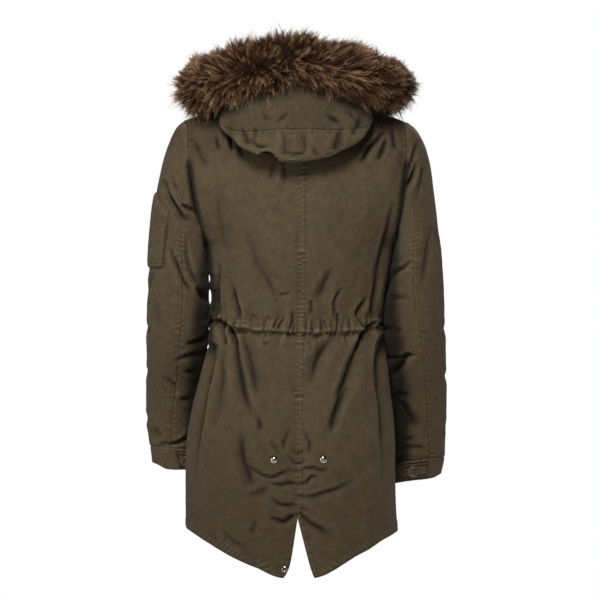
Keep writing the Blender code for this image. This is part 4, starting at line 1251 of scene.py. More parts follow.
@dataclass
class Body:
    """Two backs, two fronts, the storm flap over the closure and the drawstring channel."""
    form: BodyForm
    twill: Material
    step: float = 0.0042
    casing_height: float = 0.023
    casing_front_share: float = 0.19
    cloths: list[Cloth] = field(default_factory=list)

    def panel(self, side: float, facing: float) -> Cloth:
        """Dresses one back or front.

        Args:
            side: LEFT or RIGHT.
            facing: BACK or FRONT.

        Returns:
            The panel.
        """
        form, behind = self.form, facing > 0
        place = form.even_places(side, facing, self.step * (0.97 if behind else 1.6))
        grid = form.points(graded(0.24, self.step * (0.77 if behind else 1.6)), place, side, facing)
        if behind:
            shift = np.interp(grid[:, -1, 0], *(np.array(HEM_SHIFT) * MM).T)
            grid[..., 2] += shift[:, None] * smooth(-0.70, -0.80, grid[..., 2])
        edge = run(grid[-1:], 1)[0]
        arm = float(np.interp(form.underarm(facing), place, edge / edge[-1]))
        seams = [
            Seam(Edge.LAST, (1.8, 7.6), 0.75, 9.5, 9.0, 0.9, 0.25, (0.0, arm)),
            Seam(Edge.LAST, (1.8, 7.6), 0.50, 9.5, 8.0, 0.7, 0.20, (arm, 1.0)),
            Seam(Edge.BOTTOM, (2.6, 17.5), 0.9, 11.0, 11.0, 0.5, 0.90, lean=0.9),
            Seam(Edge.TOP, (2.0, 7.6), 0.45, 9.0, 8.0, 0.8, 0.30),
        ]
        if behind:
            line = run(grid[0:1], 1)[0]
            vent = float(np.interp(-VENT_TOP, -grid[0, :, 2], line / line[-1]))
            seams += [Seam(Edge.FIRST, (6.2,), 1.25, 7.7, 6.0, 0.2, 0.8, (0.0, vent)),
                      Seam(Edge.FIRST, (2.0, 9.0), 0.7, 10.0, 8.0, 0.3, 0.80, (vent + 0.004, 1.0))]
        name = f"{'back' if behind else 'front'}_{'left' if side > 0 else 'right'}"
        made = Cloth(name, grid, BODY_MIDDLE, tuple(seams), BODY_CREASES)
        gathers = waist_gathers(grid)
        made.relief += gathers + waist_shadow(grid)
        # painted highlight on the gathers' crests and painted shade in their troughs
        made.seam_wear_and_painted_light += 0.40 * np.clip(gathers / (2.2 * MM), -1, 1)
        self.settle(made, side, behind)
        return made.dress()

    def settle(self, made: Cloth, side: float, behind: bool) -> None:
        """Fills a panel out under the arm, draws it in at the armhole and paints shade there.

        Args:
            made: The panel.
            side: LEFT or RIGHT.
            behind: Whether it is a back, which also gets painted shade under the hood and down its tail.
        """
        height, away = made.grid[..., 2], made.across[-1:] - made.across
        reach = np.abs(made.grid[..., 0]) / np.abs(made.grid[-1:, :, 0])
        made.relief += side_fill(height, side, 1) * smooth(0.90, 1.0, reach) - armhole_sink(away, height)
        # painted shade along the armhole seam and down the flank that turns away under the arm
        armhole = band(height, ARM_RISE, (-0.285, -0.33)) * mound(away, 0, 9 * MM)
        flank = band(height, (-0.23, -0.29), (-0.46, -0.50)) * smooth(0.940, 0.990, reach)
        made.painted_shade += 1.2 * armhole + 1.05 * flank
        if behind:
            # painted shadow under the hood and fur, and painted shade down the tail and on the left below the
            # waist
            made.painted_shade += 0.32 * smooth(-0.150, -0.070, height) + 0.17 * smooth(-0.60, -0.80, height)
            made.painted_shade += (side > 0) * 0.14 * smooth(-0.42, -0.52, height)

    def flap(self) -> Cloth:
        """Dresses the storm flap over the front closure.

        Returns:
            The flap.
        """
        u = graded(0.024, 0.0042, False, True) * 0.106
        place = self.form.even_places(LEFT, FRONT, 1.5 * self.step)
        place = place[place >= 0.5]
        grid = np.concatenate((self.form.points(u, place, RIGHT, FRONT)[::-1],
                               self.form.points(u, place, LEFT, FRONT)[1:]))
        edge = Seam(Edge.FIRST, (1.8, 8.0), 0.35, 9.5, 8.0, 0.0, 0.3)
        seams = (edge, edge._replace(edge=Edge.LAST), Seam(Edge.BOTTOM, (19.0,), 0.3, 12.0, 14.0, 0.0, 0.4))
        made = Cloth("storm_flap", grid, BODY_MIDDLE, seams, BODY_CREASES)
        made.relief += waist_gathers(grid) + 3.0 * MM
        return made.dress()

    def casing(self) -> Cloth:
        """Dresses the drawstring channel, gathered all the way round.

        Returns:
            The channel.
        """
        form, half = self.form, self.casing_height / 2
        drop = np.linspace(-1, 1, 15)
        strips = []
        for side, facing, turn in ((RIGHT, FRONT, 1), (RIGHT, BACK, -1), (LEFT, BACK, 1), (LEFT, FRONT, -1)):
            start = self.casing_front_share if facing < 0 else 0.0
            u = np.linspace(start, 1.0, 140 if facing > 0 else 90)[::turn]
            strip = form.points(u, form.place_at(WAIST_Z - half * drop, facing), side, facing)
            strips.append(strip if (side, facing) == (LEFT, FRONT) else strip[:-1])
        grid = np.concatenate(strips)
        aside = np.abs(grid[..., 0])
        rise = 4.0 * MM * (aside / 0.13) ** 2 + 8.0 * MM * smooth(0.118, 0.156, aside)
        grid[..., 2] += rise * (grid[..., 1] > 0)
        made = Cloth("waist_casing", grid, (0.0, 0.0, WAIST_Z),
                     (Seam(Edge.TOP, (1.5,), 0.5, 6.5, 6.0, 0.8),), BODY_CREASES, wall=THIN_WALL)
        length = run(grid, 0)[:, :1]
        around = length + 2.0 * MM * drop * wander(length, 0.02, 63)
        shift = ridge_height(grid) - (WAIST_Z - 0.55 * half + rise) + MM * 1.2 * wander(around, 0.011, 64)
        made.grid[..., 2] += np.clip(shift, -8 * MM, 8 * MM) * smooth(-1.0, 0.4, drop)
        gather = wander(around, 0.0052, 61) + 0.8 * wander(around, 0.0105, 62) - 1.1 * pinches(grid)
        bulge = mound(drop, 0.55, 0.32) * (1 - smooth(0.132, 0.150, aside))
        step = 0.9 + 1.2 * smooth(-1.0, 0.1, drop) - 1.6 * smooth(0.8, 1.0, drop)
        made.relief += waist_gathers(grid) + MM * (step + bulge * (4.0 + 3.4 * gather) + 1.4 * gather)
        swell = (side_fill(grid[..., 2], side, 1) for side in (LEFT, RIGHT))
        made.relief += smooth(0.90, 1.0, aside / 0.157) * np.where(grid[..., 0] > 0, *swell)
        # painted highlight on the cord's ridge and gathers, painted shade along the channel's lower edge and
        # at its sides
        made.seam_wear_and_painted_light += bulge * (0.36 + 0.75 * gather) - 0.5 * smooth(0.82, 1.0, drop)
        made.painted_shade += 0.9 * smooth(0.145, 0.156, aside)
        return made.dress()

    def build(self) -> None:
        """Makes every piece of the body."""
        self.cloths += [self.panel(side, facing) for side in (LEFT, RIGHT) for facing in (BACK, FRONT)]
        self.cloths += [self.flap(), self.casing()]
        for cloth in self.cloths:
            cloth.build(self.twill, Held.GATHERED if cloth.name == "waist_casing" else Held.HUNG)

    def spot(self, x: float, z: float) -> tuple[Array, Array]:
        """Finds a place on the dressed backs.

        Args:
            x: Its x.
            z: Its z.

        Returns:
            The cloth's point and facing there.
        """
        cloth = self.cloths[0 if x > 0 else 2]
        points = cloth.points()
        away = np.hypot(points[..., 0] - x, points[..., 2] - z)
        at = np.unravel_index(np.argmin(away), away.shape)
        return points[at], normals(points, cloth.middle)[at]


# ---- sleeves
class SleeveRing(NamedTuple):
    """One ring of a sleeve, at x, y on its own side of the body."""
    z: float
    x: float
    y: float
    half_x: float
    half_y: float
    tilt: float  # how much the outer side rises above the inner side, per metre


SLEEVE_RINGS = {
    LEFT: tuple(SleeveRing(*ring) for ring in (
        (-0.302, 0.2245, 0.000, 0.0565, 0.066, 0.0), (-0.370, 0.2255, -0.006, 0.0585, 0.064, 0.0),
        (-0.440, 0.2280, -0.018, 0.0575, 0.061, 0.0), (-0.500, 0.2300, -0.044, 0.0565, 0.058, 0.0),
        (-0.560, 0.2310, -0.080, 0.0550, 0.054, 0.03), (-0.620, 0.2310, -0.102, 0.0530, 0.051, 0.08),
        (-0.663, 0.2290, -0.114, 0.0505, 0.048, 0.12), (-0.698, 0.2275, -0.122, 0.0475, 0.045, 0.18))),
    RIGHT: tuple(SleeveRing(*ring) for ring in (
        (-0.305, 0.2300, 0.000, 0.0490, 0.066, 0.0), (-0.370, 0.2255, -0.006, 0.0560, 0.064, 0.0),
        (-0.440, 0.2265, -0.018, 0.0565, 0.061, 0.0), (-0.505, 0.2290, -0.042, 0.0560, 0.058, 0.0),
        (-0.570, 0.2305, -0.070, 0.0545, 0.054, 0.03), (-0.635, 0.2315, -0.090, 0.0515, 0.051, 0.08),
        (-0.684, 0.2330, -0.102, 0.0490, 0.048, 0.12), (-0.720, 0.2310, -0.108, 0.0465, 0.045, 0.20))),
}
BACK_SEAM = {  # shares of the way round, from the underarm, at the armhole and each ring
    LEFT: (0.270, 0.228, 0.223, 0.229, 0.236, 0.251, 0.279, 0.282, 0.285),
    RIGHT: (0.270, 0.216, 0.233, 0.272, 0.284, 0.294, 0.307, 0.320, 0.320),
}
FRONT_SEAM = 0.85
SLEEVE_CREASES = folds(Seen.BACK, (
    # left sleeve, from behind
    ("253,-156 247,-182 230,-207 215,-222 196,-234", 7, 10, 0.4, 0.2),
    ("241,-148 230,-175", 5, 3),
    ("217,-201 203,-207 190,-211", 3.5, 7, 0.6),
    ("203,-53 190,-80 177,-114", 9, 4, 0.6),
    ("239,-283 230,-304 218,-334 207,-355 196,-370", 4, 6, 0.4, 0.3),
    ("188,-357 179,-370 167,-386", 4.5, 8, 0.5),
    ("209,-262 207,-300 198,-331 179,-363", 4, 4, 0.4),
    ("205,-462 186,-456 167,-445", 4.5, 6, 0.5),
    ("228,-494 211,-488 192,-481 173,-479", 4, 5, 0.5),
    ("253,-526 236,-538 228,-559", 4, 3, 0.5),
    ("211,-517 186,-513", 5, 4, 0.5),
    ("220,-570 200,-566", 5, 4, 0.6),
    ("234,-646 218,-638 209,-623", 4, -4, 0.6),
    ("245,-656 220,-648 211,-638", 3.5, 6, 0.5),
    ("264,-657 241,-652", 5, 3, 0.6),
    ("276,-623 260,-646", 7, 3),
    ("270,-380 260,-437", 11, 3, 0.4),
    # right sleeve, from behind
    ("-232,-78 -222,-101 -215,-125 -211,-141", 3.5, 5, 0.4),
    ("-226,-122 -218,-146 -203,-173", 4, 8, 0.5),
    ("-241,-120 -239,-152 -224,-201", 7, 4, 0.4),
    ("-256,-251 -247,-285 -241,-323 -234,-376", 10, 5, 0.4),
    ("-215,-306 -200,-317 -184,-327 -173,-340", 4, 6, 0.4),
    ("-169,-374 -192,-374 -213,-374", 3, 5, 0.7),
    ("-175,-488 -198,-486 -234,-481", 3, 5, 0.7, 0.3),
    ("-209,-483 -196,-502 -179,-528", 5.5, 8, 0.5),
    ("-188,-566 -205,-598 -238,-627", 13, 9, 0.5),
    ("-169,-433 -200,-435", 5, 3, 0.7),
    ("-180,-555 -217,-559", 6, 4, 0.6),
    ("-186,-663 -222,-659 -253,-667", 4.5, 4, 0.5),
    ("-192,-646 -226,-642", 5, 3, 0.4),
)) + folds(Seen.FRONT, (
    # the elbow's break and the wrist's rucks
    ("186,-392 230,-402 262,-388", 8, 6, 0.6, 0.2),
    ("190,-440 236,-452 264,-438", 8, 6, 0.6, 0.2),
    ("192,-482 232,-492 258,-482", 7, 4, 0.6),
    ("-186,-398 -228,-410 -260,-394", 8, 6, 0.6, 0.2),
    ("-188,-446 -232,-458 -262,-446", 8, 6, 0.6, 0.2),
    ("-196,-492 -236,-500 -258,-486", 7, 4, 0.6),
    ("196,-120 214,-170 208,-236", 9, 4, 0.5),
    ("-198,-124 -216,-176 -210,-240", 9, 4, 0.5),
    ("204,-600 246,-622", 7, 4, 0.5),
    ("-206,-618 -250,-634", 7, 4, 0.5),
)) + folds(Seen.OUTER_LEFT, (
    # outer sides, drawn in y and z
    ("30,-330 -10,-372", 9, 4, 0.4),
    ("-46,-404 -12,-430 20,-442", 9, 2.5, 0.6),
    ("-84,-500 -50,-516 -22,-512", 9, 2, 0.6),
    ("-120,-590 -88,-606", 7, 3.5, 0.5),
)) + folds(Seen.OUTER_RIGHT, (
    ("32,-250 8,-330", 10, 4, 0.4),
    ("-44,-410 -10,-436 22,-446", 9, 2.5, 0.6),
    ("-78,-512 -44,-524 -18,-520", 9, 2, 0.6),
    ("-112,-606 -78,-618", 7, 3.5, 0.5),
))


@dataclass
class Sleeve:
    """A two-piece sleeve with its cuff, strap and button, and the left one's pocket."""
    form: BodyForm
    side: float
    twill: Material
    resin: Material
    step: float = 0.0048
    cap_out: float = 0.14  # how far the sleeve head springs out at the shoulder
    cap_drop: float = 0.08
    cap_land_out: float = 0.03
    cap_land_drop: float = 0.25
    cap_length: float = 0.26
    cuff_wall: float = 0.0024
    tuck_in: float = 0.13  # how far the sleeve runs on inside its cuff
    flank_ease: tuple = (0.0, -0.5, -1.0, 0.5, 2.5, 2.8)  # swell of its outer side, down the arm, in mm
    cuff_flare: Pair = (-0.4, -4.2)  # the cuff's, at its seam and its hem, in mm
    cuff_sag: Pair = (0.262, 0.0050)  # where the cuff hangs lower, and by how much
    slit: Pair = (0.304, 0.253)  # way round at which the cuff opens
    strap_shares: Pair = (0.305, 0.105)
    strap_length: float = 0.056
    button_at: float = 0.5  # share of the strap's length from its sewn end
    strap_width: float = 0.033
    cloths: list[Cloth] = field(default_factory=list)

    @property
    def hand(self) -> str:
        """The side's name."""
        return "left" if self.side > 0 else "right"

    @property
    def cuff_place(self) -> float:
        """Place where the cuff is sewn on; the cuff ends one further."""
        return len(SLEEVE_RINGS[self.side]) - 1.0

    def ring(self, ring: SleeveRing, share: Array) -> Array:
        """Points round one ring from the underarm, up the back, round the outside to the front.

        Args:
            ring: The ring.
            share: Ways round it.

        Returns:
            One point for each way.
        """
        turn = 2 * pi * share
        across = -np.cos(turn) * ring.half_x
        return np.stack((self.side * (ring.x + across), ring.y + np.sin(turn) * ring.half_y,
                         ring.z + across * ring.tilt), axis=-1)

    def points(self, shares: Array, place: Array) -> Array:
        """Outer points of the sleeve.

        Args:
            shares: Ways round from the underarm, for each column or for each column and row.
            place: 0 to 1 down the head, then one for each ring.

        Returns:
            Points, columns by rows by three.
        """
        shares = shares if shares.ndim == 2 else np.repeat(shares[:, None], len(place), axis=1)
        rings = SLEEVE_RINGS[self.side]
        spring_out = np.array((self.side * self.cap_out, 0.0, -self.cap_drop))
        land_out = np.array((self.side * self.cap_land_out, 0.0, -self.cap_land_drop))
        columns = []
        for share, level in zip(shares.T, place):
            net = np.stack([self.ring(ring, share) for ring in rings])
            if level > 1:
                columns.append(blend_rows(net, np.array([level - 1.0]))[0])
                continue
            start, t = self.form.armhole(share, self.side), level
            reach = np.linalg.norm(net[0] - start, axis=1)[:, None] / self.cap_length
            spring = reach * spring_out
            spring[:, 1] = (net[0] - start)[:, 1] * 0.8
            columns.append((2 * t**3 - 3 * t**2 + 1) * start + (t**3 - 2 * t**2 + t) * spring
                           + (3 * t**2 - 2 * t**3) * net[0] + (t**3 - t**2) * reach * land_out)
        return np.stack(columns, axis=1)

    def panel(self, upper: bool) -> Cloth:
        """Dresses the upper or the under sleeve.

        Args:
            upper: Whether it is the upper one.

        Returns:
            The panel.
        """
        last = self.cuff_place
        dense = np.linspace(0, last + self.tuck_in, 300)
        length = run(self.points(np.array([0.5]), dense), 1)[0]
        place = np.interp(graded(length[-1], self.step) * length[-1], length, dense)
        back = np.interp(place, range(len(BACK_SEAM[self.side])), BACK_SEAM[self.side])
        start, end = (back, np.full_like(back, FRONT_SEAM)) if upper else (FRONT_SEAM - 1 + 0 * back, back)
        share = start + (end - start) * graded(0.21 if upper else 0.155, self.step)[:, None]
        grid = self.points(share, place)
        middle = grid.reshape(-1, 3).mean(axis=0)
        middle[0] = self.side * 0.228
        if upper:
            seams = (Seam(Edge.FIRST, (1.8, 7.8), 0.8, 9.0, 8.0, 1.0, 0.45),
                     Seam(Edge.LAST, (1.8, 7.8), 0.9, 9.5, 8.0, 0.9, 0.45))
        else:
            seams = (Seam(Edge.FIRST, (), 0.6, 9.5, 6.0, 0.8), Seam(Edge.LAST, (), 0.9, 9.5, 7.0, 0.8))
        seams += (Seam(Edge.TOP, (), 1.0, 9.5, 9.0, 1.2), Seam(Edge.BOTTOM, (), 0.60, 8.5, 10.0, 0.0))
        name = f"sleeve_{self.hand}_{'upper' if upper else 'under'}"
        made = Cloth(name, grid, middle, seams, SLEEVE_CREASES)
        self.settle(made, (share + 0.5) % 1.0 - 0.5, share, place)
        return made.dress()

    def settle(self, made: Cloth, turn: Array, share: Array, place: Array) -> None:
        """Fills a sleeve out at its inner and outer sides, draws in its seams and paints shade on it.

        Args:
            made: The upper or the under sleeve.
            turn: Ways round from its innermost line, from -0.5 to 0.5.
            share: Ways round from the underarm.
            place: Places down the sleeve.
        """
        height, last = made.grid[..., 2], self.cuff_place
        head = smooth(*ARM_RISE, height) * (1 - smooth(0.6, 1.0, place))
        made.relief += side_fill(height, self.side, 2) * mound(turn, 0, 0.14)
        made.relief -= 2.0 * MM * smooth(last - 0.05, last + 0.05, place)
        made.relief -= armhole_sink(made.down, height) * (1 - smooth(0.6, 1.0, place))
        swell = np.interp(-height, (0.09, 0.16, 0.24, 0.32, 0.40, 0.68), self.flank_ease)
        made.relief += mound(share, 0.5, 0.15) * MM * swell
        # painted shade on the inner side that faces the body, along the armhole seam and near the shoulder
        # top
        hidden = np.interp(-height, (0.20, 0.33, 0.57, 0.72), (0.07, 0.135, 0.20, 0.19))
        inside = (1 - smooth(hidden - 0.045, hidden + 0.035, turn)) * smooth(-0.22, -0.14, turn)
        made.painted_shade += (0.20 * smooth(-0.130, -0.060, height) + 1.2 * mound(made.down, 0, 8 * MM) * head
                       + 0.95 * smooth(-0.20, -0.27, height) * inside)

    def cuff(self) -> Cloth:
        """Dresses the cuff band, slit where its strap is sewn on.

        Returns:
            The cuff.
        """
        down = np.linspace(0, 1, 15)
        shares = self.slit[0] + (self.slit[1] - self.slit[0]) * down + np.linspace(0.0, 1.0, 90)[:, None]
        grid = self.points(shares, self.cuff_place + 1.09 * down)
        end = Seam(Edge.FIRST, (2.0,), 0.1, 9.0, 4.0, 0.8)
        seams = (Seam(Edge.TOP, (2.2, 7.2), 0.8, 8.5, 6.0, 0.8),
                 Seam(Edge.BOTTOM, (2.4, 6.5), 0.5, 9.5, 6.0, 0.3), end, end._replace(edge=Edge.LAST))
        made = Cloth(f"cuff_{self.hand}", grid, grid.reshape(-1, 3).mean(axis=0), seams,
                     SLEEVE_CREASES, wall=self.cuff_wall, slump=0.7)
        outer = mound(shares % 1.0, 0.5, 0.15)
        swell = 2.4 - 3.0 * smooth(0.80, 1.0, down) ** 2 + outer * np.interp(down, (0, 1), self.cuff_flare)
        made.relief += MM * (swell * smooth(-0.01, 0.07, down) - 2.0 * (1 - smooth(0.0, 0.06, down)))
        beyond = np.abs(grid[..., 0]) - self.cuff_sag[0]
        sag = mound(beyond, 0, np.where(beyond > 0, 0.018, 0.036)) * smooth(0.4, 1.0, down)
        made.grid[..., 2] -= self.cuff_sag[1] * sag
        from_slit = np.minimum(made.across, made.across[-1:] - made.across)
        # painted shade on the inner side and in the slit
        made.painted_shade += 0.55 * mound((shares + 0.5) % 1.0 - 0.5, 0.06, 0.10)
        made.painted_shade += 1.1 * mound(from_slit, 0, 2.0 * MM) * smooth(0.08, 0.3, down)
        return made.dress()

    def strap_point(self, along: Array, aside: Array) -> Array:
        """Points on the cuff under its strap.

        Args:
            along: Metres along the strap.
            aside: Metres aside from its middle line.

        Returns:
            One point for each pair.
        """
        start, end = self.strap_shares
        share = start + (end - start) * along / self.strap_length
        place = self.cuff_place + 0.5 + 0.82 * aside / self.strap_width
        points = [self.points(np.array([one]), np.array([other]))[0, 0]
                  for one, other in zip(share.ravel(), place.ravel())]
        return np.array(points).reshape(share.shape + (3,))

    def strap(self) -> Cloth:
        """Dresses the cuff's strap, its free end rounded.

        Returns:
            The strap.
        """
        along = self.strap_length * (1 - np.cos(np.linspace(0, pi, 48))) / 2
        radius = self.strap_width / 2
        short = np.clip((along - self.strap_length + radius) / radius, 0, 0.995)
        aside = (radius * np.sqrt(1 - short**2))[:, None] * np.linspace(-1, 1, 33)
        grid = self.strap_point(np.repeat(along[:, None], 33, axis=1), aside)
        made = Cloth(f"cuff_tab_{self.hand}", grid, self.cuff_middle, (), SLEEVE_CREASES, slump=0.7)
        inset = radius - np.hypot(np.maximum(along - self.strap_length + radius, 0)[:, None], aside)
        rows = mound(inset, 6.5 * MM, 1.0 * MM) + 0.6 * mound(inset, 1.8 * MM, 0.9 * MM)
        sewn = 1 - smooth(0.0, 2.0 * MM, along)[:, None]
        made.relief += MM * (5.6 - 0.8 * rows - 1.6 * mound(inset, 0, 1.0 * MM) - 2.0 * sewn)
        # painted highlight between the stitch rows; painted shade on the rows, along the edge and at the sewn
        # end
        made.seam_wear_and_painted_light += 0.35 * mound(inset, 4.0 * MM, 1.4 * MM) - rows
        made.painted_shade += 1.1 * rows + 1.3 * mound(inset, 0, 1.3 * MM) + sewn
        return made.dress()

    @property
    def cuff_middle(self) -> Array:
        """Middle of the cuff."""
        ring = SLEEVE_RINGS[self.side][-1]
        return np.array((self.side * ring.x, ring.y, ring.z))

    def pocket(self) -> list[Cloth]:
        """Dresses the utility pocket on the left sleeve, and the guard over its zip.

        Returns:
            The pocket and the guard.
        """
        columns, rows, middle = 42, 34, np.array((0.224, 0.0, -0.25))
        seams = (Seam(Edge.FIRST, (2.0, 11.0), 1.9, 8.5, 12.0, 1.6),
                 Seam(Edge.LAST, (2.0, 8.0), 1.2, 9.5, 7.0, 1.6),
                 Seam(Edge.TOP, (2.0, 16.0), 1.1, 9.5, 9.0, 1.6),
                 Seam(Edge.BOTTOM, (2.0, 8.0), 1.1, 9.5, 7.0, 1.6))
        grid = self.points(np.linspace(0.33, 0.60, columns), np.linspace(0.58, 1.31, rows))
        pocket = Cloth("sleeve_pocket", grid, middle, seams, SLEEVE_CREASES)
        across, down = np.linspace(0, 1, columns)[:, None], np.linspace(0, 1, rows)
        pocket.relief += MM * (2.9 + 10.4 * np.sqrt(across * (1 - across) * down * (1 - down)))
        grid = self.points(np.linspace(0.334, 0.366, 9), np.linspace(0.70, 1.28, rows))
        welt = Cloth("sleeve_pocket_welt", grid, middle, (Seam(Edge.FIRST, (1.6,), 0.3, 6.0, 5.0, 0.0),),
                     SLEEVE_CREASES, wall=THIN_WALL)
        welt.relief += 5.6 * MM
        return [pocket.dress(), welt.dress()]

    def button(self, strap: Cloth) -> None:
        """Sets the cuff's button, sewn through its strap.

        Args:
            strap: The dressed strap.
        """
        middle = strap.grid.shape[1] // 2
        at = (int(np.argmin(np.abs(strap.across[:, middle] - self.button_at * self.strap_length))), middle)
        turned(f"cuff_button_{self.hand}", BUTTON_PROFILE, strap.points()[at] + strap.normal[at] * 0.3 * MM,
               strap.normal[at], self.resin)

    def build(self) -> None:
        """Makes every piece of the sleeve."""
        strap = self.strap()
        self.cloths = [self.panel(True), self.panel(False), self.cuff(), strap]
        if self.side > 0:
            self.cloths += self.pocket()
        for cloth in self.cloths:
            cloth.build(self.twill)
        self.button(strap)


# radius and height in millimetres, from the top down
BUTTON_PROFILE = read_table(
    "0,2.4 5,2.4 6.6,2.5 7.4,3.2 8.6,3.7 10,3.5 10.9,2.8 11.2,1.9 10.9,1 9.6,0.2 7,0 0,0")
SNAP_PROFILE = read_table(
    "0,4.4 1.6,4.3 3.2,4 4.8,3.4 6.2,2.5 7.2,1.5 7.7,0.8 7.7,0.3 7.2,0 0,0")
SOCKET_PROFILE = read_table(
    "2.4,0 2.4,1.6 2.9,2.1 3.8,2.3 4.9,2 5.8,1.4 6.4,0.6 6.2,0 2.4,0")
TURNED_SIDES = 48


def turned(name: str, profile: Sequence[Pair], spot: Array, normal: Array,
           finish: Material) -> None:
    """Makes a turned piece on a spot along its normal.

    Args:
        name: The piece's name, which is also its node's.
        profile: Radius and height pairs in millimetres, outer side first.
        spot: Where it sits.
        normal: The way that it faces.
        finish: Its material.
    """
    work = bmesh.new()
    verts = [work.verts.new((radius * MM, 0.0, height * MM)) for radius, height in profile]
    edges = [work.edges.new(pair) for pair in zip(verts, verts[1:])]
    bmesh.ops.spin(work, geom=verts + edges, cent=(0, 0, 0), axis=(0, 0, 1), dvec=(0, 0, 0),
                   angle=2 * pi, steps=TURNED_SIDES, use_merge=True)
    bmesh.ops.remove_doubles(work, verts=work.verts, dist=1e-6)
    bmesh.ops.recalc_face_normals(work, faces=work.faces)
    turn = Vector(normal).to_track_quat("Z", "Y").to_matrix().to_4x4()
    turn.translation = Vector(spot)
    bmesh.ops.transform(work, matrix=turn, verts=work.verts)
    add_object(name, mesh_from_work(name, work), finish, (name,))


# ---- hood
class TrimPoint(NamedTuple):
    """A station along the hood's mouth: the fur's middle and radius, and how the bag hangs below."""
    x: float
    y: float
    z: float
    radius: float
    under: float  # degrees from straight below the fur towards the neck
    sag_x: float  # lowest line of the hood's bag
    sag_y: float
    sag_z: float
    belly: float  # how far the bag stands out


HOOD_STATIONS = tuple(TrimPoint(*station) for station in (
    (0.078, -0.150, -0.050, 0.044, 70.0, 0.054, -0.107, -0.049, 0.001),
    (0.135, -0.110, -0.004, 0.055, 66.0, 0.084, -0.064, -0.014, 0.001),
    (0.178, -0.030, 0.033, 0.060, 55.0, 0.106, -0.030, 0.004, 0.002),
    (0.168, 0.070, 0.036, 0.062, 28.0, 0.136, 0.076, -0.050, 0.012),
    (0.094, 0.128, 0.058, 0.060, 8.0, 0.094, 0.138, -0.102, 0.020),
    (0.000, 0.150, 0.075, 0.058, 0.0, 0.000, 0.152, -0.122, 0.020),
    (-0.094, 0.128, 0.055, 0.060, 8.0, -0.094, 0.138, -0.096, 0.020),
    (-0.166, 0.070, 0.034, 0.060, 28.0, -0.135, 0.074, -0.048, 0.014),
    (-0.175, -0.030, 0.030, 0.059, 55.0, -0.106, -0.030, 0.004, 0.002),
    (-0.135, -0.110, -0.005, 0.055, 66.0, -0.084, -0.064, -0.014, 0.001),
    (-0.078, -0.150, -0.050, 0.044, 70.0, -0.054, -0.107, -0.049, 0.001)))
HOOD_CREASES = folds(Seen.BACK, (
    ("84,-84 70,-92 55,-90", 4, 4, 0.4),
    ("22,-100 4,-106 -22,-104", 4, 3, 0.4),
    ("21,-65 23,-114", 7, 3, 0.4),
    ("-10,-63 -17,-110", 8, 3, 0.4),
    ("-28,-87 -40,-114", 5, 3, 0.4),
    ("-84,-61 -70,-103", 7, 4, 0.4),
    ("104,-59 93,-91", 7, 4, 0.4),
    ("78,-59 86,-87", 5, 3, 0.4),
    ("-120,-34 -104,-76", 7, 4, 0.4),
    ("40,-46 16,-26", 4, 2.5, 0.4),
    ("-58,-30 -84,-46", 4.5, 3, 0.4),
    ("-96,-26 -114,-46", 4.5, 3, 0.4),
    ("66,-26 52,-44", 4, 2, 0.4),
))


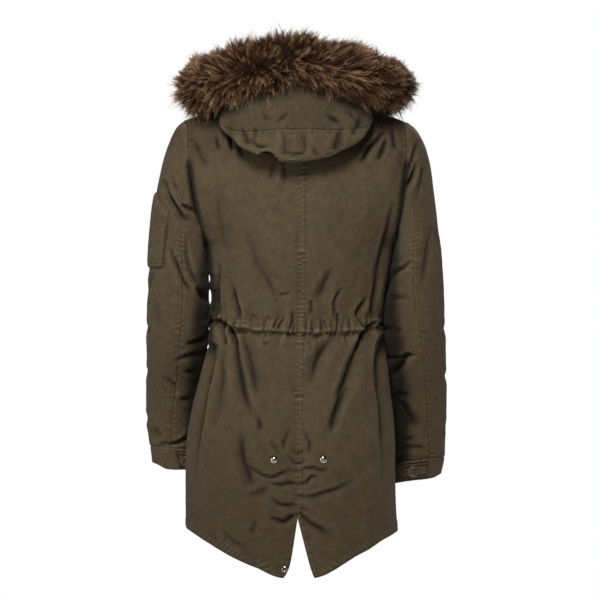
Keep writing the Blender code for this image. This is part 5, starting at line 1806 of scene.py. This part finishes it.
@dataclass
class Hood:
    """The lowered hood: four panels, the band at its mouth, and the tape that carries the fur."""
    form: BodyForm
    twill: Material
    neck_angle: float = 150.0
    neck_ease: float = 1.018
    neck_rise: float = 0.0009
    seams: tuple[float, ...] = (0.0, 0.434, 0.488, 0.562, 1.0)
    band_start: Pair = (0.84, 0.40)
    tape_start: Pair = (0.935, 0.70)
    fur_seat: float = 0.0009
    tuck: Pair = (57.0, -100.0)  # crown of the fold over the back: x and z in mm
    cloths: list[Cloth] = field(default_factory=list)

    def stations(self, share: Array) -> Array:
        """The mouth's stations, read smoothly from the left front round to the right front."""
        return blend_rows(np.array(HOOD_STATIONS), share * (len(HOOD_STATIONS) - 1))

    def points(self, share: Array, depths: Array) -> Array:
        """Outer points of the bag, from the neck seam down, round and up to the mouth.

        Args:
            share: Ways along the mouth.
            depths: Ways from the neck to the mouth, for each share.

        Returns:
            Points, columns by rows by three.
        """
        station = self.stations(share)
        neck = self.form.neck_ring(radians(self.neck_angle) * (1 - 2 * share))
        neck *= np.array((self.neck_ease, self.neck_ease, 1.0))
        neck[:, 2] += self.neck_rise
        inward = -station[:, 0:3] * np.array((1.0, 1.0, 0.0))
        inward[:, 1] += 0.01
        under = np.radians(station[:, 4:5])
        toward = unit(inward) * np.sin(under) - np.array((0.0, 0.0, 1.0)) * np.cos(under)
        mouth = station[:, 0:3] + toward * (station[:, 3:4] + self.fur_seat)
        sag = station[:, 5:8]
        belly = unit(sag * np.array((1.0, 1.0, 0.0))) * station[:, 8:9]
        centre = (8 * sag - neck - mouth) / 6
        route = (neck, centre - belly, centre + belly, mouth)
        return np.stack([bezier(route, step) for step in depths.T], axis=1)

    def depths(self, share: Array, start: tuple, end: tuple, steps: Array) -> Array:
        """Depths of a strip whose edges lie at other depths behind than at the front ends.

        Args:
            share: Ways along the mouth.
            start: Depth of its first edge, behind and in front.
            end: Depth of its last edge, behind and in front.
            steps: Shares of the way between them.

        Returns:
            Depths, for each share and step.
        """
        forward = np.abs(1 - 2 * share)[:, None] ** 2
        low, high = (ends[0] + (ends[1] - ends[0]) * forward for ends in (start, end))
        return low + (high - low) * steps

    def panel(self, name: str, start: float, end: float) -> Cloth:
        """Dresses one panel of the bag.

        Args:
            name: Its node's name.
            start: Where along the mouth it starts.
            end: Where it ends.

        Returns:
            The panel.
        """
        share = start + (end - start) * graded(1.15 * (end - start), 0.0051)
        depths = self.depths(share, (0.0, 0.0), self.band_start, graded(0.27, 0.0050, False))
        grid = self.points(share, depths)
        edge = Seam(Edge.FIRST, (3.0,), 0.9, 8.0, 7.0, 0.9, 0.5)
        seams = (edge, edge._replace(edge=Edge.LAST), Seam(Edge.BOTTOM, (2.0, 7.6), 0.6, 9.0, 8.0, 1.0, 0.3))
        made = Cloth(name, grid, None, seams, HOOD_CREASES, slump=1.3)
        x, z = grid[..., 0] / MM, grid[..., 2] / MM
        past = x - self.tuck[0]
        arch = self.tuck[1] - np.where(past < 0, 22 * (past / 23) ** 2, 10 * (past / 19) ** 2)
        behind = band(x, (30, 37), (74, 80)) * (grid[..., 1] > 0.11)
        # the tuck's hollow is dented in and darkened with painted shade
        hollow = smooth(0, 2.5, arch - z) * behind
        made.relief += MM * (2.0 * mound(z - arch, 3, 3) * behind - 8.0 * hollow)
        made.painted_shade += hollow
        return made.dress()

    def strip(self, name: str, start: tuple, end: tuple, rows: int) -> Cloth:
        """Dresses the mouth's band or the fur's tape.

        Args:
            name: Its node's name.
            start: Depth of its first edge, behind and in front.
            end: Depth of its last edge, behind and in front.
            rows: Points across it.

        Returns:
            The strip.
        """
        share = np.linspace(0, 1, 230)
        grid = self.points(share, self.depths(share, start, end, np.linspace(-0.08, 1.04, rows)))
        seams = (Seam(Edge.TOP, (1.8,), 0.9, 9.0, 6.0, 1.3, 0.3),
                 Seam(Edge.BOTTOM, (2.0,), 0.7, 9.0, 6.0, 0.9))
        made = Cloth(name, grid, None, seams, HOOD_CREASES, wall=THIN_WALL)
        made.relief += 0.5 * MM
        # painted shade over the whole band and tape
        made.painted_shade += 0.25
        return made.dress()

    def build(self) -> None:
        """Makes every cloth piece of the hood."""
        names = ("hood_side_left", "hood_crown_left", "hood_crown_right", "hood_side_right")
        self.cloths = [self.panel(name, *ends) for name, ends in zip(names, zip(self.seams, self.seams[1:]))]
        self.cloths.append(self.strip("hood_band", self.band_start, self.tape_start, 11))
        self.cloths.append(self.strip("fur_tape", self.tape_start, (1.075, 1.06), 12))
        for cloth in self.cloths:
            cloth.build(self.twill, Held.DRAPED)


# ---- fur
@dataclass
class FurTrim:
    """The fur edge: a dark underfur, and long hairs that gather into pointed locks."""
    hood: Hood
    finish: Material
    core_share: float = 0.60  # radius of the underfur within the trim's
    locks_along: int = 176
    locks_round: int = 41
    hairs: int = 11  # in each lock
    lock_radius: float = 0.0060
    parting: float = 0.42  # share of the trim at which the pile leans neither way
    slant: float = 0.30  # how far the pile leans outwards along the trim
    comb: float = 0.95  # how much further it leans where it was smoothed by hand
    hair_width: float = 0.00095
    trimmed_y: Pair = (-0.188, 0.225)  # where the longest hairs are cut
    pieces: int = 5
    seed: int = 11

    def frames(self, share: Array) -> tuple[Array, ...]:
        """Reads the trim's middle line.

        Args:
            share: Ways along the mouth.

        Returns:
            Its points, radius, direction along, and two directions across.
        """
        dense = np.linspace(0, 1, 801)
        station = self.hood.stations(dense)
        along = unit(np.gradient(station[:, 0:3], axis=0))
        up = unit(np.array((0.0, 0.0, 1.0)) - along * along[:, 2:3])
        table = np.concatenate((station[:, 0:4], along, up), axis=1)
        read = np.stack([np.interp(share, dense, column) for column in table.T], axis=-1)
        along, up = unit(read[..., 4:7]), unit(read[..., 7:10])
        return read[..., 0:3], read[..., 3], along, up, np.cross(along, up)

    def core(self) -> None:
        """The underfur."""
        share, turn = np.linspace(0.004, 0.996, 240), np.linspace(0, 2 * pi, 29)
        middle, radius, _, up, side = self.frames(share)
        ends = np.sqrt(np.clip(1 - (np.abs(2 * share - 1)) ** 40, 0.02, 1))
        size = (radius * self.core_share * ends)[:, None, None]
        out = up[:, None] * np.cos(turn)[:, None] + side[:, None] * np.sin(turn)[:, None]
        grid = middle[:, None] + out * size
        grid[:, -1] = grid[:, 0]
        lumps = 1 + 0.10 * noise(grid, (0.012,) * 3, 71)[..., None]
        grid = middle[:, None] + (grid - middle[:, None]) * lumps
        grid[:, -1] = grid[:, 0]
        mesh = Cloth("fur_underfur", grid, None).mesh()
        work = bmesh.new()
        work.from_mesh(mesh)
        bmesh.ops.remove_doubles(work, verts=work.verts, dist=1e-6)
        bmesh.ops.holes_fill(work, edges=[edge for edge in work.edges if edge.is_boundary], sides=0)
        bmesh.ops.recalc_face_normals(work, faces=work.faces)
        work.to_mesh(mesh)
        work.free()
        for name in ("along", "kind"):
            add_values(mesh, name, np.full(len(mesh.vertices), 0.12))
        add_object("fur_underfur", mesh, self.finish, ("fur_trim",))

    def crop(self, root: Array, out: Array) -> Array:
        """How much shorter the pile is trimmed.

        Args:
            root: Where each lock grows.
            out: The way that it grows.

        Returns:
            The share cut off, below 0 where the pile is left longer.
        """
        x, aside, upper = root[:, 0], np.abs(root[:, 0]), smooth(0.10, 0.60, out[:, 2])
        crown = 0.24 * mound(aside, 0.060, 0.032) + 0.22 * mound(x, -0.035, 0.022)
        corners = np.where(x > 0, 0.28, 0.38) * smooth(0.11, 0.15, aside)
        ends = np.where(x > 0, 0.34, 0.20) * smooth(0.140, 0.175, aside) * smooth(0.2, 0.8, np.abs(out[:, 0]))
        tassel = 0.40 * smooth(0.165, 0.195, x) * smooth(0.1, 0.6, -out[:, 2]) * (out[:, 1] > -0.2)
        return upper * (crown + corners) + ends - tassel

    def locks(self) -> dict[str, Array]:
        """Lays out the locks.

        Returns:
            Roots, tips and tones of all locks.
        """
        rng = np.random.default_rng(self.seed)
        count = self.locks_along * self.locks_round
        cell_a, cell_r = np.divmod(np.arange(count), self.locks_round)
        share = (cell_a + rng.uniform(0, 1, count)) / self.locks_along
        turn = 2 * pi * (cell_r + 0.5 * (cell_a % 2) + rng.uniform(-0.35, 0.35, count)) / self.locks_round
        share = np.clip(share, 0.004, 0.996)
        middle, radius, along, up, side = self.frames(share)
        out = up * np.cos(turn)[:, None] + side * np.sin(turn)[:, None]
        lie = self.slant + self.comb * smooth(-0.1, 0.8, out[:, 1])
        away = along * (np.tanh((share - self.parting) / 0.10) * lie)[:, None]
        root = middle + out * (radius * self.core_share * 0.9)[:, None]
        wild = rng.normal(0, 1, (count, 3))
        wild -= (wild * out).sum(axis=1, keepdims=True) * out
        reach = radius * (1 - self.core_share * 0.9) * rng.uniform(0.55, 1.16, count)
        # a notch where the locks grow short
        notch_thinned_and_shaded = mound(root[:, 0], -0.172, 0.010) * mound(root[:, 2], -0.004, 0.009) * (out[:, 1] > 0)
        tufts = 1 + 0.26 * noise(root, (0.026,) * 3, 83) + 0.26 * noise(root, (0.013,) * 3, 87)
        reach = reach * (1 - 0.85 * notch_thinned_and_shaded) * (1 - self.crop(root, out)) * tufts
        reach = reach * (1 - 0.55 * smooth(0.80, 1.0, np.abs(2 * share - 1)))
        under = smooth(-0.1, 0.7, -out[:, 2]) * smooth(-0.2, 0.4, out[:, 1])
        combed = 0.70 * smooth(0.1, 0.7, out[:, 1]) * (1 - under) - 0.30 * under
        sway = np.stack([noise(root, (0.026,) * 3, seed) for seed in (84, 85, 86)], axis=-1)
        lean = away + wild * 0.22 + sway * 0.55 + np.array((0, 0, 1.0)) * combed[:, None]
        kind = 0.40 + 1.0 * noise(root, (0.013,) * 3, 81) + rng.normal(0, 0.46, count)
        # the notch's remaining hairs are made dark, as painted shade
        kind = np.clip(kind, 0, 1) * (1 - notch_thinned_and_shaded)
        guard = rng.uniform(0, 1, count) < 0.10
        reach = np.where(guard, reach * 1.22, reach)
        tip = root + unit(out + lean) * (1.16 * reach)[:, None]
        return {"root": root, "tip": tip, "out": out, "along": along, "kind": np.where(guard, 1.0, kind),
                "share": share, "reach": reach}

    def build(self) -> None:
        """Makes the underfur and all the hairs."""
        self.core()
        locks = self.locks()
        rng = np.random.default_rng(self.seed + 1)
        edges = np.linspace(0, 1, self.pieces + 1)
        for number in range(self.pieces):
            chosen = (locks["share"] >= edges[number]) & (locks["share"] < edges[number + 1])
            owner = np.repeat(np.nonzero(chosen)[0], self.hairs)
            self.pile(f"fur_pile_{number + 1}", {name: value[owner] for name, value in locks.items()}, rng)

    def pile(self, name: str, lock: dict[str, Array], rng: np.random.Generator) -> None:
        """Makes the hairs of one stretch as one mesh.

        Args:
            name: The piece's name.
            lock: Values of the lock that owns each hair.
            rng: Source of the unevenness.
        """
        count = len(lock["share"])
        out, along = lock["out"], lock["along"]
        around = np.cross(out, along)
        spread = self.lock_radius * np.sqrt(rng.uniform(0, 1, count))
        turn = rng.uniform(0, 2 * pi, count)
        offset = along * (spread * np.cos(turn))[:, None] + around * (spread * np.sin(turn))[:, None]
        root = lock["root"] + offset
        stray = rng.uniform(0, 1, count) < 0.07
        gather = np.where(stray, 0.8, rng.uniform(0.0, 0.26, count))[:, None]
        length = np.where(stray, rng.uniform(0.9, 1.25, count), rng.uniform(0.62, 1.04, count))[:, None]
        wild = rng.normal(0, 1, (count, 3)) * np.where(stray, 0.16, 0.05)[:, None] * lock["reach"][:, None]
        tip = root + (lock["tip"] + offset * gather - root) * length + wild
        tip[:, 1] = np.clip(tip[:, 1], *self.trimmed_y)
        bend = root + out * (0.56 * lock["reach"] * length[:, 0])[:, None]
        steps = np.array((0.0, 0.42, 0.76, 1.0))
        line = np.stack([root * (1 - t) ** 2 + bend * 2 * t * (1 - t) + tip * t**2 for t in steps], axis=1)
        flat = unit(np.cross(tip - root, rng.normal(0, 1, (count, 3))))
        taper = np.array((1.0, 0.9, 0.6))[:, None]
        edge = flat[:, None] * self.hair_width * rng.uniform(0.6, 1.15, count)[:, None, None] * taper / 2
        points = np.concatenate((line[:, :3] - edge, line[:, :3] + edge, line[:, 3:]), axis=1)
        quads = np.array(((0, 3, 4, 1), (1, 4, 5, 2)))
        base = np.arange(count)[:, None, None] * 7
        faces = ((base + quads).reshape(-1, 4), (base + np.array(((2, 5, 6),))).reshape(-1, 3))
        mesh = mesh_from_arrays(name, points.reshape(-1, 3), faces)
        add_values(mesh, "along", np.tile(steps[[0, 1, 2, 0, 1, 2, 3]], count))
        kind = np.clip(lock["kind"] + rng.normal(0, 0.24, count), 0, 1)
        add_values(mesh, "kind", np.repeat(kind, 7))
        add_object(name, mesh, self.finish)


# ---- the studs
@dataclass
class TailStuds:
    """Domed press studs that hold the tail up when it is folded, and the socket at its tip."""
    body: Body
    finish: Material
    spots: dict = field(default_factory=lambda: {
        "snap_back_left": (0.0434, -0.6797, SNAP_PROFILE), "snap_back_right": (-0.0494, -0.682, SNAP_PROFILE),
        "snap_tail": (0.0239, -0.887, SOCKET_PROFILE)})

    def build(self) -> None:
        """Sets each stud on the dressed cloth."""
        for name, (x, z, profile) in self.spots.items():
            spot, normal = self.body.spot(x, z)
            turned(name, profile, spot + normal * 0.2 * MM, normal, self.finish)


# ---- setting
@dataclass
class Studio:
    """A pale floor, soft lights and the camera."""
    floor: str = "#E9E7E3"
    floor_z: float = -1.7
    camera_away: float = 16.0
    frame_width: float = 1.14
    dim: str = "#483F35"  # the room above and below its lit horizon

    def light(self, name: str, place: Sequence[float], size: float, energy: float, colour: str) -> None:
        """Adds a soft light that looks at the garment.

        Args:
            name: The light's name.
            place: Where it hangs.
            size: Its width in metres.
            energy: Its power in watts.
            colour: Its sRGB hex value.
        """
        lamp = bpy.data.lights.new(name, "AREA")
        lamp.shape, lamp.size, lamp.energy, lamp.color = "DISK", size, energy, linear(colour)[:3]
        made = link_object(name, lamp)
        made.location = place
        made.rotation_euler = (Vector(BODY_MIDDLE) - Vector(place)).to_track_quat("-Z", "Y").to_euler()

    def build(self) -> None:
        """Makes the setting."""
        work = bmesh.new()
        bmesh.ops.create_circle(work, cap_ends=True, segments=96, radius=13.0)
        bmesh.ops.translate(work, verts=work.verts, vec=(0, 0, self.floor_z))
        mesh = mesh_from_work("floor", work)
        paint, _, _ = new_finish("pale_painted_floor", {"Base Color": linear(self.floor), "Roughness": 0.9})
        mesh.materials.append(paint)
        link_object("floor", mesh)
        world = bpy.data.worlds.new("studio")
        world.use_nodes = True
        tree = world.node_tree
        ray = add_node(tree, "TexCoord").outputs["Generated"]
        height = add_node(tree, "SeparateXYZ", links={"Vector": ray}).outputs["Z"]
        level = add_node(tree, "Math", {"operation": "ABSOLUTE"}, {0: height}).outputs[0]
        sky = add_node(tree, "ValToRGB", {"stops": ((0.042, "#FFFFFF"), (0.07, self.dim))}, {"Fac": level})
        tree.links.new(sky.outputs["Color"], tree.nodes["Background"].inputs["Color"])
        bpy.context.scene.world = world
        bpy.context.scene.view_settings.view_transform = "Standard"
        for turn in (1, -1):  # the same light behind and before the garment
            self.light("key", (0.40 * turn, 2.4 * turn, 1.7), 1.0, 112, "#FFF9F0")
            self.light("fill", (3.6 * turn, 2.6 * turn, 0.3), 2.8, 50, "#FFF9F0")
        camera = bpy.data.cameras.new("camera")
        camera.lens = camera.sensor_width * self.camera_away / self.frame_width
        camera.clip_end = 60.0
        made = link_object("camera", camera)
        made.location = (-0.0057, self.camera_away, -0.38)
        made.rotation_euler = (pi / 2, 0, pi)
        bpy.context.scene.camera = made


def main() -> None:
    """Builds the parka piece by piece."""
    logging.basicConfig(level=logging.INFO, format="%(message)s")
    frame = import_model()
    log.info("%d solids in the frame", len(frame["nodes"]))
    twill, thread = WashedTwill().build(), CoreSpunThread().build()
    nickel, resin, fur = PlatedBrass().build(), CastResin().build(), LongPileFur().build()
    form = BodyForm()
    body = Body(form, twill)
    left = Sleeve(form, LEFT, twill, resin, slit=(0.262, 0.215), strap_shares=(0.245, 0.045),
                  button_at=0.3, cuff_flare=(-0.6, 0.8), cuff_sag=(0.250, 0.0082))
    right = Sleeve(form, RIGHT, twill, resin, flank_ease=(0.0, -3.2, -2.6, 0.5, 1.5, 2.8))
    hood = Hood(form, twill)
    for part in (body, left, right, hood):
        part.build()
    Stitching("seam_stitching", thread, body.cloths + left.cloths + right.cloths + hood.cloths).build()
    TailStuds(body, nickel).build()
    FurTrim(hood, fur).build()
    Studio().build()


if __name__ == "__main__":
    main()
